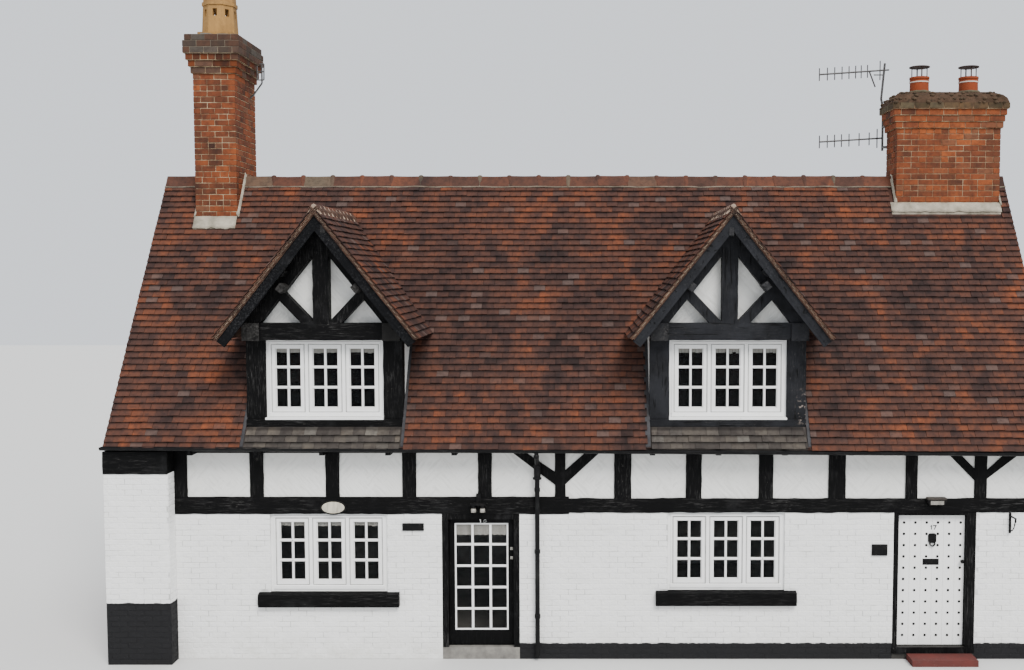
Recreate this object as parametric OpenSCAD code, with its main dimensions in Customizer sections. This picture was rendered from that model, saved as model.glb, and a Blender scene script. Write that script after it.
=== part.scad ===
// Half timbered row house: two low cottages under one steep tiled roof.
// Millimetres. X runs along the street front, +Y into the house, Z up.
// The street front faces -Y. The lowest ground is at Z = 0.

/* [House] */

// length along the street
house_length = 12950; // [11500:50:14500]
// depth from the street wall face to the rear wall face
house_depth = 4400; // [4100:50:4900]
// brick wall thickness
wall_thickness = 230; // [200:5:260]
// top of the ground floor above the lowest ground
floor_level = 165; // [120:5:220]
// height of the brick walls, where the long rail lies
rail_level = 2030; // [1980:10:2120]
// thickness of the upper floor
floor_thickness = 170; // [140:5:200]

/* [Timber] */

// depth of the timber frame from front to back
frame_depth = 170; // [150:5:190]
// how far the timber faces stand out from the brick
timber_proud = 10; // [5:1:20]
// how far the plaster lies behind the brick face
panel_recess = 6; // [2:1:12]
// height of the long rail in the left house
left_rail_height = 232; // [180:2:260]
// height of the long rail in the right house
right_rail_height = 190; // [150:5:220]
// underside of the wall plate above the rail level
plate_rise = 836; // [800:4:880]

/* [Roof] */

// pitch of the main roof in degrees
roof_pitch = 57.7; // [55:0.1:60]
// thickness of the tiled roof, square to the slope
roof_thickness = 90; // [80:5:110]
// roof surface at the wall face, above the underside of the wall plate
roof_heel = 429; // [400:1:450]
// how far the eaves stand out from the wall
eaves_reach = 205; // [185:5:215]

/* [Dormers] */

// width over the dormer posts
dormer_width = 2120; // [2060:10:2200]
// width of the dormer roof over its eaves
dormer_roof_width = 2680; // [2620:10:2760]
// pitch of the dormer roofs in degrees
dormer_pitch = 51.6; // [50:0.1:53]
// thickness of the dormer roofs
dormer_roof_thickness = 80; // [70:5:90]
// depth of the barge boards, square to their slope
barge_depth = 125; // [100:5:160]
// height of the tie beams
tie_height = 230; // [200:5:250]
// top of the dormer sill above the rail level
dormer_sill_rise = 1297; // [1260:1:1330]

/* [Windows and doors] */

// width of a window frame
window_width = 1600; // [1500:10:1640]
// height of a window frame
window_height = 1090; // [1040:5:1110]
// clear width between the jambs of the glazed door
left_door_width = 897; // [860:1:940]
// clear width between the jambs of the plank door
right_door_width = 934; // [900:1:960]
// gap around each door leaf
door_gap = 6; // [5:1:8]
// thickness of a door leaf
leaf_thickness = 45; // [40:1:50]

/* [Chimneys] */

// width of the left stack
left_stack_width = 615; // [560:5:700]
// depth of the left stack
left_stack_depth = 950; // [850:10:1050]
// height of the left stack from the ground to its top course
left_stack_height = 8880; // [8500:10:9200]
// width of the right stack
right_stack_width = 1565; // [1450:5:1650]
// depth of the right stack
right_stack_depth = 555; // [500:5:620]
// height of the right stack from the ground to its top course
right_stack_height = 7800; // [7650:10:8050]
// height of the sloped mortar on top of the right stack
flaunching_height = 285; // [240:5:330]
// height of one projecting brick course
corbel_course = 95; // [86:1:105]

/* [Hidden] */

$fn = 48;
front_y = -house_depth / 2;
back_y = house_depth / 2;
half_length = house_length / 2;
spread = house_length / 12950;
inner_x = half_length - wall_thickness;
inner_y = back_y - wall_thickness;

pitch_rise = tan(roof_pitch);
roof_drop = roof_thickness / cos(roof_pitch);
plate_level = rail_level + plate_rise;
heel_z = plate_level + roof_heel;
ridge_z = heel_z + pitch_rise * house_depth / 2;
eaves_z = heel_z - pitch_rise * eaves_reach;
eaves_foot = roof_thickness * sin(roof_pitch);
eaves_foot_z = eaves_z - roof_thickness * cos(roof_pitch);

right_rail_lift = 20;
right_rail_level = rail_level + right_rail_lift;
pier_right = -half_length + 870;
pier_reach = 220;
pier_top = plate_level - 246;

dormer_x = [-3536 * spread, 1951 * spread];
dormer_rise = tan(dormer_pitch);
dormer_drop = dormer_roof_thickness / cos(dormer_pitch);
dormer_sill_z = rail_level + dormer_sill_rise;
tie_z = dormer_sill_z + window_height;
dormer_eaves_z = tie_z + 60;
dormer_half = dormer_roof_width / 2;
dormer_apex_z = dormer_eaves_z + dormer_half * dormer_rise;
post_width = (dormer_width - window_width) / 2;
sill_bed_z = plate_level + 144;
verge_reach = 420;
// how far each dormer roof and cheek runs back from the wall face
dormer_roof_run = 2000;
cheek_run = 1400;
// rafter feet and gutters; the gutter falls from the left end to the right
rafter_end_y = front_y - pier_reach - 10;
rafter_depth = 50;
last_rafter = 13;
gutter_radius = 48;
gutter_wall = 5;
gutter_y = rafter_end_y - gutter_radius;
gutter_z = eaves_foot_z + 32;
gutter_fall = 40;
pipe_radius = 32;
verge_lap = 60;
truss_face = front_y - 120;
principal_width = 280;
king_post_width = 212;
plate_end_width = 235;
purlin_width = 100;
purlin_depth = 115;
cheek_thickness = 100;
barge_face = front_y - verge_reach + 20;
barge_back = barge_face + 40;
post_back = 210;

stud_x = [-4475, -3440, -2392, -1360, 521, 1491, 2478, 3449, 4465];
stud_w = [183, 184, 186, 182, 228, 211, 194, 228, 160];
brace_post_x = [-332, 5408];
brace_post_w = [141, 164];
// braces of each post: height of the foot below the plate, height of its cut,
// and how far the upper and lower edges run out at the plate
brace_forms = [[[437, 178, 385, 572], [427, 194, 266, 460]],
    [[379, 164, 217, 375], [356, 121, 255, 456]]];
end_post_w = 180;
// the left rail ends at the right side of the first braced post, where the
// right rail is let into it
rail_joint_x = brace_post_x[0] * spread + brace_post_w[0] / 2;
post_lap = 60;
rafter_width = 70;
rear_end_stud_x = -5500 * spread;
// gap under pieces that lie on a slope, so that their faces never share space
seat = 0.3;

window_x = [-3507 * spread, 1942 * spread];
left_door_x = -1870 * spread;
right_door_x = 4305 * spread;
left_jambs = [85, 80];
right_jambs = [69, 126];
left_head_z = rail_level - 80;
right_head_z = right_rail_level - 45;
frame_face = 30;
// back of the window frames behind the wall face, where the glass lies
sash_back = 70;
// each window has three glazed lights: half the clear width of a light, the
// distance between their middles, and the wood left below and above them
light_half = window_width * 0.1094;
light_pitch = window_width * 0.3156;
light_foot = 152;
light_head = 118;
// rim of a casement round its light, and the groove that parts it from the frame
casement_rim = 37;
groove_width = 6;
groove_depth = 8;
// black sill boards under the ground windows, with a sloped ledge on top
sill_height = 195;
sill_reach = 75;
sill_lap = 165;
ledge_foot = 58;
ledge_edge = 42;
frame_thickness = 120;
leaf_face = 75;
leaf_foot = floor_level + 10;
step_level = floor_level - 80;
// wood round the glass of the left door
door_stile = 78;
door_bottom_rail = 205;
door_top_rail = 68;
// hinges: radius of the pin, and height of one of the three knuckles
pin_radius = 6;
knuckle = 31;
hinge_leaf = 38;

left_stack_x = -5585 * spread;
left_stack_setback = 1800;
left_stack_y = front_y + left_stack_setback;
right_stack_x = 5538 * spread;
right_stack_setback = 1940;
right_stack_y = front_y + right_stack_setback;
// depth of the mortared aprons at the foot of the stacks, measured level
left_apron = 120;
right_apron = 100;
// the left pot stands a little left of the middle, towards the street
left_pot_x = left_stack_x - 25;
left_pot_setback = 400;
left_pot_y = left_stack_y + left_pot_setback;
left_flue = 115;
right_flue = 100;
// distance of each right pot from the middle of its stack
pot_offset = 379;
pot_height = 240;

// height of the roof surface over a point y on the front half
function roof_at(y) = heel_z + pitch_rise * (y - front_y);
function under_at(y) = roof_at(y) - roof_drop;
// height of a dormer roof surface at a distance from its middle
function dormer_at(x) = dormer_apex_z - dormer_rise * abs(x);

// a box given by its two corners
module block(low, high) {
    translate(low)
        cube([high[0] - low[0], high[1] - low[1], high[2] - low[2]]);
}

// a side profile drawn in Y and Z, run along X
module run_x(from, to) {
    translate([from, 0, 0])
        rotate([90, 0, 90])
            linear_extrude(to - from)
                children();
}

// a front profile drawn in X and Z, run along Y
module run_y(from, to) {
    translate([0, to, 0])
        rotate([90, 0, 0])
            linear_extrude(to - from)
                children();
}

// the same shape on the street side and the rear side
module both_sides() {
    children();
    mirror([0, 1, 0])
        children();
}

module at_dormers() {
    for (x = dormer_x)
        translate([x, 0, 0])
            children();
}

// the room side of a dormer, cut out of the main slope
module dormer_hole() {
    half = dormer_width / 2;
    top = dormer_at(half) - dormer_drop;
    run_y(front_y - 500, back_y)
        polygon([[-half, eaves_z - 400], [half, eaves_z - 400], [half, top],
            [0, dormer_apex_z - dormer_drop], [-half, top]]);
}

// everything below the surface of the main front slope
module below_front_slope(extra) {
    run_x(-half_length - 100, half_length + 100)
        polygon([[front_y - 1000, 0], [front_y - 1000, roof_at(front_y - 1000) + extra],
            [0, ridge_z + extra], [back_y, ridge_z + extra], [back_y, 0]]);
}

module stack_hole(x, y, width, depth) {
    block([x - width / 2, y, floor_level], [x + width / 2, y + depth, ridge_z + 500]);
}

module stack_holes() {
    stack_hole(left_stack_x, left_stack_y, left_stack_width, left_stack_depth);
    stack_hole(right_stack_x, right_stack_y, right_stack_width, right_stack_depth);
}

module ground_floor() {
    color([0.52, 0.49, 0.45])
        block([-inner_x, -inner_y, 0], [inner_x, inner_y, floor_level]);
}

module upper_floor() {
    color([0.55, 0.40, 0.26])
        difference() {
            block([-inner_x, front_y + frame_depth, rail_level],
                [inner_x, back_y - frame_depth, rail_level + floor_thickness]);
            block([-half_length, front_y, 0], [pier_right, -inner_y, pier_top]);
            stack_holes();
        }
}

// brick up to the rail, with a thin upstand under the higher rail
module brick_run(from, to, lift) {
    block([from, front_y, 0], [to, -inner_y, rail_level]);
    if (lift > 0)
        block([from, front_y, rail_level - 1],
            [to, front_y + frame_depth, rail_level + lift]);
}

module window_hole(x, z) {
    translate([x, 0, z])
        block([-window_width / 2, front_y - 100, 0],
            [window_width / 2, front_y + 700, window_height + 1]);
}

module front_wall_left() {
    color([0.93, 0.93, 0.91])
        difference() {
            brick_run(pier_right, left_door_x - left_jambs[0], 0);
            window_hole(window_x[0], rail_level - window_height);
        }
}

module front_wall_middle() {
    color([0.93, 0.93, 0.91])
        difference() {
            union() {
                brick_run(left_door_x + left_door_width + left_jambs[1],
                    right_door_x - right_jambs[0], 0);
                brick_run(rail_joint_x, right_door_x - right_jambs[0], right_rail_lift);
            }
            window_hole(window_x[1], right_rail_level - window_height);
        }
}

module front_wall_right() {
    color([0.93, 0.93, 0.91])
        brick_run(right_door_x + right_door_width + right_jambs[1], half_length,
            right_rail_lift);
}

module end_pier() {
    color([0.93, 0.93, 0.91])
        block([-half_length, front_y - pier_reach, 0], [pier_right, -inner_y, pier_top]);
}

module pier_head() {
    color([0.06, 0.06, 0.06])
        run_x(-half_length, pier_right)
            polygon([[front_y - pier_reach - 10, pier_top],
                [front_y - pier_reach - 10, eaves_foot_z - 2],
                [front_y - eaves_reach + eaves_foot, eaves_foot_z - 1],
                [front_y, under_at(front_y)], [front_y, plate_level],
                [-inner_y, plate_level], [-inner_y, pier_top]]);
}

module gable_profile() {
    in_y = back_y - frame_depth;
    polygon([[-inner_y, 0], [-inner_y, rail_level], [-in_y, rail_level],
        [-in_y, under_at(-in_y)], [0, ridge_z - roof_drop], [in_y, under_at(-in_y)],
        [in_y, rail_level], [inner_y, rail_level], [inner_y, 0]]);
}

module party_wall_left() {
    color([0.60, 0.35, 0.27])
        difference() {
            run_x(-half_length, -inner_x)
                gable_profile();
            block([-half_length - 10, front_y - 500, -10], [pier_right, -inner_y, plate_level]);
        }
}

module party_wall_right() {
    color([0.60, 0.35, 0.27])
        difference() {
            run_x(inner_x, half_length)
                gable_profile();
            stack_holes();
        }
}

module rear_wall() {
    color([0.93, 0.93, 0.91])
        mirror([0, 1, 0])
            difference() {
                brick_run(-half_length, half_length, 0);
                for (x = window_x)
                    window_hole(x, rail_level - window_height);
            }
}

module rail_run(from, to, z, height) {
    block([from, front_y - timber_proud, z], [to, front_y + frame_depth, z + height]);
}

module front_rail() {
    color([0.06, 0.06, 0.06]) {
        rail_run(pier_right, rail_joint_x, rail_level, left_rail_height);
        rail_run(rail_joint_x - post_lap, half_length, right_rail_level, right_rail_height);
    }
}

module stud(x, width, foot) {
    block([x - width / 2, front_y - timber_proud, foot],
        [x + width / 2, front_y + frame_depth, plate_level]);
}

module stud_set(foot_left, foot_right) {
    for (i = [0 : len(stud_x) - 1])
        stud(stud_x[i] * spread, stud_w[i], stud_x[i] < brace_post_x[0] ? foot_left : foot_right);
    stud(brace_post_x[0] * spread, brace_post_w[0], max(foot_left, foot_right));
    stud(brace_post_x[1] * spread, brace_post_w[1], foot_right);
    stud(half_length - end_post_w / 2, end_post_w, foot_right);
}

module front_studs() {
    color([0.06, 0.06, 0.06]) {
        stud_set(rail_level + left_rail_height, right_rail_level + right_rail_height);
        stud(pier_right + end_post_w / 2, end_post_w, rail_level + left_rail_height);
    }
}

// a slanting brace that meets one side of a post, drawn in X and Z
module brace_shape(x, side, form) {
    foot = plate_level - form[0];
    polygon([[x, foot], [x, foot + form[1]], [x + side * form[2], plate_level],
        [x + side * form[3], plate_level]]);
}

module brace_shapes() {
    for (i = [0, 1]) {
        brace_shape(brace_post_x[i] * spread - brace_post_w[i] / 2, -1, brace_forms[i][0]);
        brace_shape(brace_post_x[i] * spread + brace_post_w[i] / 2, 1, brace_forms[i][1]);
    }
}

module front_braces() {
    color([0.06, 0.06, 0.06])
        run_y(front_y - timber_proud, front_y + frame_depth)
            brace_shapes();
}

module wall_plates() {
    color([0.06, 0.06, 0.06]) {
        difference() {
            plate_run();
            at_dormers()
                block([-dormer_width / 2, front_y - 400, sill_bed_z],
                    [dormer_width / 2, front_y + 600, ridge_z]);
        }
        mirror([0, 1, 0])
            plate_run();
    }
}

// wall plate with the feet of the rafters that carry the eaves
module plate_run() {
    run_x(-half_length, half_length)
        polygon([[front_y, plate_level], [front_y, under_at(front_y)],
            [front_y + frame_depth, under_at(front_y + frame_depth)],
            [front_y + frame_depth, plate_level]]);
    at_rafters()
        block([-rafter_width / 2, rafter_end_y, eaves_foot_z - rafter_depth],
            [rafter_width / 2, front_y + 20, eaves_foot_z - 1]);
}

function rafter_x(i) = pier_right + 300 + i * (house_length - 1400) / last_rafter;

module at_rafters() {
    for (i = [0 : last_rafter])
        translate([rafter_x(i), 0, 0])
            children();
}

module panel_run() {
    difference() {
        block([pier_right, front_y + panel_recess, rail_level],
            [half_length, front_y + frame_depth - 20, plate_level]);
        children();
    }
}

module front_panels() {
    color([0.93, 0.93, 0.91])
        panel_run() {
            front_rail();
            stud_set(rail_level, rail_level);
            stud(pier_right + end_post_w / 2, end_post_w, rail_level);
            run_y(front_y - timber_proud, front_y + frame_depth)
                brace_shapes();
            block([rail_joint_x, front_y - 20, rail_level - 10],
                [half_length + 10, front_y + frame_depth + 10, right_rail_level]);
        }
}

module rear_frame() {
    color([0.06, 0.06, 0.06])
        mirror([0, 1, 0]) {
            rail_run(-half_length, half_length, rail_level, left_rail_height);
            stud_set(rail_level + left_rail_height - 1, rail_level + left_rail_height - 1);
            stud(-half_length + end_post_w / 2, end_post_w, rail_level + left_rail_height - 1);
            stud(rear_end_stud_x, end_post_w, rail_level + left_rail_height - 1);
        }
}

module rear_panels() {
    color([0.93, 0.93, 0.91])
        mirror([0, 1, 0])
            difference() {
                block([-half_length, front_y + panel_recess, rail_level + left_rail_height],
                    [half_length, front_y + frame_depth - 20, plate_level]);
                stud_set(rail_level, rail_level);
                stud(-half_length + end_post_w / 2, end_post_w, rail_level);
                stud(rear_end_stud_x, end_post_w, rail_level);
            }
}

module slope_run() {
    run_x(-half_length, half_length)
        polygon([[front_y - eaves_reach, eaves_z], [0, ridge_z], [0, ridge_z - roof_drop],
            [front_y - eaves_reach + eaves_foot, eaves_foot_z]]);
}

module front_slope() {
    color([0.42, 0.24, 0.18])
        difference() {
            slope_run();
            at_dormers()
                dormer_hole();
            stack_holes();
        }
}

module rear_slope() {
    color([0.42, 0.24, 0.18])
        difference() {
            mirror([0, 1, 0])
                slope_run();
            stack_holes();
        }
}

// angled ridge tiles with a rounded crest, bedded on both slopes
module ridge_tiles() {
    half = 85;
    low = ridge_z - half * pitch_rise;
    color([0.50, 0.27, 0.18])
        difference() {
            run_x(-half_length, half_length)
                polygon([[-half, low + seat], [0, ridge_z + seat], [half, low + seat],
                    [half + 16, low + 9], [42, ridge_z - 34], [20, ridge_z + 12], [0, ridge_z + 22],
                    [-20, ridge_z + 12], [-42, ridge_z - 34], [-half - 16, low + 9]]);
            stack_holes();
        }
}

module dormer_frames() {
    color([0.06, 0.06, 0.06])
        at_dormers() {
            block([-dormer_width / 2, front_y - 20, sill_bed_z],
                [dormer_width / 2, front_y + post_back, dormer_sill_z]);
            for (side = [-1, 1])
                translate([side * (dormer_width - post_width) / 2, 0, 0])
                    block([-post_width / 2, front_y + frame_face, dormer_sill_z - 1],
                        [post_width / 2, front_y + post_back, tie_z]);
            block([-dormer_width / 2, truss_face, tie_z],
                [dormer_width / 2, front_y + post_back, tie_z + tie_height]);
            for (side = [-1, 1])
                translate([side * (dormer_width - plate_end_width) / 2, 0, 0])
                    block([-plate_end_width / 2, truss_face - 35, tie_z - 8],
                        [plate_end_width / 2, truss_face + 1, tie_z + tie_height]);
        }
}

// one side of the timber gable, drawn in X and Z
module principal_shape(side) {
    top = tie_z + tie_height;
    outer = (dormer_apex_z - dormer_drop - top) / dormer_rise;
    inner = outer - principal_width;
    polygon([[side * outer, top], [0, dormer_apex_z - dormer_drop],
        [0, dormer_apex_z - dormer_drop - principal_width * dormer_rise], [side * inner, top]]);
}

// a raking brace from the foot of the king post to the principal
module gable_brace_shape(side) {
    low = tie_z + tie_height;
    width = 180;
    foot = king_post_width / 2 - 15;
    rise = (dormer_apex_z - low) / 2;
    lean = 0.95 * rise;
    polygon([[side * foot, low], [side * (foot + width), low],
        [side * (foot + width + lean), low + rise], [side * (foot + lean), low + rise]]);
}

module truss_shape() {
    low = tie_z + tie_height;
    for (side = [-1, 1]) {
        principal_shape(side);
        gable_brace_shape(side);
    }
    translate([-king_post_width / 2, low])
        square([king_post_width, dormer_apex_z - dormer_drop - 300 - low]);
}

// the end of a purlin, turned with the slope, that carries a barge board
module purlin_end(side) {
    far = dormer_half * 0.39;
    run_y(barge_back, truss_face + 1)
        translate([side * far, dormer_at(far) - dormer_drop - 4])
            rotate(-side * dormer_pitch)
                translate([-purlin_width / 2, -purlin_depth])
                    square([purlin_width, purlin_depth]);
}

module dormer_trusses() {
    ridge_top = dormer_at(purlin_width / 2) - dormer_drop - 4;
    color([0.06, 0.06, 0.06])
        at_dormers() {
            run_y(truss_face, front_y + 30)
                intersection() {
                    truss_shape();
                    gable_field();
                }
            for (side = [-1, 1])
                purlin_end(side);
            block([-purlin_width / 2, barge_back, ridge_top - purlin_depth],
                [purlin_width / 2, truss_face + 1, ridge_top]);
        }
}

// the triangle above the tie beam and below the dormer roof
module gable_field() {
    low = tie_z + tie_height;
    top = dormer_apex_z - dormer_drop - seat;
    half = (top - low) / dormer_rise;
    polygon([[-half, low], [half, low], [0, top]]);
}

module dormer_infill() {
    half = dormer_width / 2;
    top = dormer_at(half) - dormer_drop - seat;
    color([0.93, 0.93, 0.91])
        at_dormers() {
            run_y(front_y + 30, front_y + 140)
                gable_field();
            difference() {
                for (side = [-1, 1])
                    translate([side * (half - cheek_thickness / 2), 0, 0])
                        block([-cheek_thickness / 2, front_y + post_back, dormer_sill_z - 200],
                            [cheek_thickness / 2, front_y + cheek_run, top]);
                below_front_slope(seat - roof_drop);
            }
        }
}

module dormer_slopes() {
    eaves_x = dormer_half - dormer_roof_thickness * sin(dormer_pitch);
    foot_z = dormer_eaves_z - dormer_roof_thickness * cos(dormer_pitch);
    run_y(front_y - verge_reach, front_y + dormer_roof_run)
        polygon([[-dormer_half, dormer_eaves_z], [0, dormer_apex_z], [dormer_half, dormer_eaves_z],
            [eaves_x, foot_z], [0, dormer_apex_z - dormer_drop], [-eaves_x, foot_z]]);
}

// a pair of barge boards; each foot is cut square to the slope
module barge_shape() {
    top_drop = verge_lap / cos(dormer_pitch);
    low_drop = (verge_lap + barge_depth) / cos(dormer_pitch);
    foot = dormer_half - 30;
    heel = foot - barge_depth * sin(dormer_pitch);
    for (side = [-1, 1])
        polygon([[0, dormer_apex_z - top_drop], [0, dormer_apex_z - low_drop],
            [side * heel, dormer_at(heel) - low_drop],
            [side * foot, dormer_at(foot) - top_drop]]);
}

module dormer_barges() {
    color([0.06, 0.06, 0.06])
        at_dormers()
            run_y(barge_face, barge_back)
                barge_shape();
}

module dormer_roofs() {
    color([0.46, 0.30, 0.24])
        at_dormers()
            difference() {
                union() {
                    dormer_slopes();
                    run_y(front_y - verge_reach, front_y + dormer_roof_run)
                        polygon([[-110, dormer_at(110)], [0, dormer_apex_z - 1],
                            [110, dormer_at(110)], [70, dormer_apex_z - 22],
                            [30, dormer_apex_z + 20], [-30, dormer_apex_z + 20],
                            [-70, dormer_apex_z - 22]]);
                }
                below_front_slope(0);
                run_y(front_y - verge_reach - 10, barge_back)
                    barge_shape();
            }
}

module dormer_aprons() {
    color([0.33, 0.31, 0.30])
        at_dormers()
            run_x(-dormer_width / 2, dormer_width / 2)
                polygon([[front_y - eaves_reach, eaves_z], [front_y - 20, dormer_sill_z - 100],
                    [front_y - 20, dormer_sill_z - 190],
                    [front_y - eaves_reach + eaves_foot, eaves_foot_z]]);
}

// a wide frame with three glazed openings, standing on z = 0;
// a groove round each opening parts the casement from the frame
module window_frame() {
    high = window_height - light_head;
    rim = light_half + casement_rim;
    ring = rim + groove_width;
    difference() {
        block([-window_width / 2, front_y + frame_face, 0],
            [window_width / 2, front_y + sash_back, window_height]);
        for (i = [-1, 0, 1])
            translate([i * light_pitch, 0, 0]) {
                block([-light_half, front_y - 100, light_foot],
                    [light_half, front_y + 400, high]);
                difference() {
                    block([-ring, front_y, light_foot / 2 - 8],
                        [ring, front_y + frame_face + groove_depth, high + casement_rim + 11]);
                    block([-rim, front_y - 10, light_foot / 2 - 2],
                        [rim, front_y + 400, high + casement_rim + 5]);
                }
            }
    }
}

module window_pane() {
    block([-window_width / 2 + 60, front_y + sash_back, 60],
        [window_width / 2 - 60, front_y + sash_back + 6, window_height - 60]);
}

module dormer_windows() {
    color([0.95, 0.95, 0.94])
        at_dormers()
            translate([0, frame_face, dormer_sill_z]) {
                window_frame();
                // thin sill board
                block([-window_width / 2, front_y - 62, 0],
                    [window_width / 2, front_y + frame_face + 1, 26]);
            }
}

module upper_glass() {
    color([0.35, 0.42, 0.46])
        at_dormers()
            translate([0, frame_face, dormer_sill_z])
                window_pane();
}

module at_ground_windows() {
    translate([window_x[0], 0, rail_level - window_height])
        children();
    translate([window_x[1], 0, right_rail_level - window_height])
        children();
    mirror([0, 1, 0])
        for (x = window_x)
            translate([x, 0, rail_level - window_height])
                children();
}

module ground_windows() {
    color([0.95, 0.95, 0.94])
        at_ground_windows()
            window_frame();
}

module ground_glass() {
    color([0.35, 0.42, 0.46])
        at_ground_windows()
            window_pane();
}

module window_sills() {
    color([0.06, 0.06, 0.06])
        at_ground_windows()
            union() {
                run_x(-window_width / 2 - sill_lap, window_width / 2 + sill_lap)
                    polygon([[front_y - sill_reach, -sill_height], [front_y - sill_reach, -18],
                        [front_y, 0], [front_y, -sill_height]]);
                run_x(-window_width / 2, window_width / 2)
                    polygon([[front_y - sill_reach - 9, -ledge_foot],
                        [front_y - sill_reach - 9, ledge_edge - ledge_foot], [front_y, 12],
                        [front_y, -ledge_foot]]);
            }
}

module door_frame(x, clear, jambs, head_z, top_z) {
    difference() {
        block([x - jambs[0], front_y, floor_level],
            [x + clear + jambs[1], front_y + frame_thickness, top_z]);
        block([x, front_y - 10, floor_level - 10], [x + clear, front_y + 200, head_z]);
    }
}

module door_frames() {
    color([0.06, 0.06, 0.06]) {
        door_frame(left_door_x, left_door_width, left_jambs, left_head_z, rail_level);
        door_frame(right_door_x, right_door_width, right_jambs, right_head_z,
            right_rail_level);
        hinge_parts(left_door_x, left_head_z, -1, [0, 2]);
        hinge_parts(right_door_x, right_head_z, -1, [0, 2]);
        // weather board under the plank door
        block([right_door_x - right_jambs[0], front_y - 25, step_level],
            [right_door_x + right_door_width + right_jambs[1], front_y, floor_level + 4]);
    }
}

// butt hinges on the inner face, at three heights; the knuckles in the
// list part belong to the leaf, the others to the frame
module hinge_parts(x, head_z, side, part) {
    for (z = [leaf_foot + 180, (leaf_foot + head_z) / 2, head_z - 260])
        translate([x + door_gap / 3, front_y + frame_thickness + door_gap, z]) {
            for (i = part)
                translate([0, 0, i * knuckle])
                    cylinder(h = knuckle - 1, r = pin_radius);
            block([side > 0 ? 8 : -hinge_leaf, -door_gap, 0],
                [side > 0 ? hinge_leaf : -8, 3 - door_gap, 3 * knuckle - 1]);
            for (i = part)
                block([side > 0 ? 0 : -9, -door_gap, i * knuckle],
                    [side > 0 ? 9 : 0, 3 - door_gap, (i + 1) * knuckle - 1]);
        }
}

// a door leaf in its closed place
module leaf(x, clear, head_z) {
    block([x + door_gap, front_y + leaf_face, leaf_foot],
        [x + clear - door_gap, front_y + leaf_face + leaf_thickness, head_z - door_gap]);
}

module left_door() {
    color([0.06, 0.06, 0.06]) {
        hinge_parts(left_door_x, left_head_z, 1, [1]);
        difference() {
            leaf(left_door_x, left_door_width, left_head_z);
            block([left_door_x + door_stile, front_y, leaf_foot + door_bottom_rail],
                [left_door_x + left_door_width - door_stile, front_y + 400,
                    left_head_z - door_top_rail]);
        }
    }
}

module left_door_glass() {
    middle_y = front_y + leaf_face + leaf_thickness / 2;
    color([0.35, 0.42, 0.46])
        block([left_door_x + door_stile, middle_y - 3, leaf_foot + door_bottom_rail],
            [left_door_x + left_door_width - door_stile, middle_y + 3,
                left_head_z - door_top_rail]);
}

module right_door() {
    color([0.95, 0.95, 0.94]) {
        hinge_parts(right_door_x, right_head_z, 1, [1]);
        leaf(right_door_x, right_door_width, right_head_z);
    }
}

// letter plate, ring knocker and knob of the plank door
module right_door_ironwork() {
    face = front_y + leaf_face;
    plate_z = leaf_foot + 1125;
    knob_z = leaf_foot + 1180;
    knob_x = right_door_width - 44;
    knocker_x = right_door_width / 2 + 14;
    knocker_z = leaf_foot + 1499;
    color([0.06, 0.06, 0.06])
        translate([right_door_x, face, 0]) {
            block([right_door_width / 2 - 112, -10, plate_z],
                [right_door_width / 2 + 112, 0, plate_z + 85]);
            translate([knocker_x, 0, knocker_z])
                rotate([90, 0, 0])
                    linear_extrude(18)
                        offset(r = 28)
                            square([56, 77], center = true);
            translate([knocker_x, -17, knocker_z - 73])
                rotate([90, 0, 0])
                    difference() {
                        cylinder(h = 14, r = 42);
                        translate([0, 0, -1])
                            cylinder(h = 16, r = 26);
                    }
            translate([knob_x, 0, knob_z])
                rotate([90, 0, 0])
                    cylinder(h = 45, r = 14);
            translate([knob_x, -50, knob_z])
                sphere(r = 26);
        }
}

module door_steps() {
    left_end = left_door_x - left_jambs[0];
    right_end = right_door_x - right_jambs[0];
    color([0.50, 0.46, 0.42]) {
        block([left_end, front_y, 0],
            [left_door_x + left_door_width + left_jambs[1], -inner_y, floor_level]);
        block([right_end, front_y, 0],
            [right_door_x + right_door_width + right_jambs[1], -inner_y, floor_level]);
        block([right_door_x + 130, front_y - 300, 0],
            [right_door_x + right_door_width + 90, front_y, step_level]);
    }
}

// brick stack with corbels; each step is [courses from the top down to its
// foot, how far it stands out, courses from the top down to its head]
module stack(x, y, width, depth, height, steps) {
    block([x - width / 2, y, floor_level], [x + width / 2, y + depth, height]);
    for (step = steps)
        block([x - width / 2 - step[1], y - step[1], height - step[0] * corbel_course],
            [x + width / 2 + step[1], y + depth + step[1], height - step[2] * corbel_course]);
}

module left_stack() {
    color([0.55, 0.28, 0.19])
        difference() {
            stack(left_stack_x, left_stack_y, left_stack_width, left_stack_depth,
                left_stack_height, [[6, 27, 5], [5, 52, 4], [4, 80, 3], [3, 110, 1],
                    [1, 88, 0]]);
            translate([left_pot_x, left_pot_y, floor_level - 10])
                cylinder(h = left_stack_height, r = left_flue);
        }
}

// half of the mortar cap's outline, from its foot to the middle of its top
function cap_edge(half) = [[half, -1], [half, 95], [half - 22, 160], [half - 70, 215],
    [half - 150, 255], [half - 240, flaunching_height], [0, flaunching_height]];

module cap_outline(half) {
    for (side = [0, 1])
        mirror([side, 0])
            polygon(concat(cap_edge(half), [[-1, flaunching_height], [-1, -1]]));
}

// mortar cap that holds the pots, rounded over at all four sides
module flaunching() {
    reach = 95;
    half_width = right_stack_width / 2 + reach;
    half_depth = right_stack_depth / 2 + reach;
    translate([right_stack_x, right_stack_y + right_stack_depth / 2, right_stack_height])
        intersection() {
            run_x(-half_width, half_width)
                cap_outline(half_depth);
            run_y(-half_depth, half_depth)
                cap_outline(half_width);
        }
}

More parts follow.
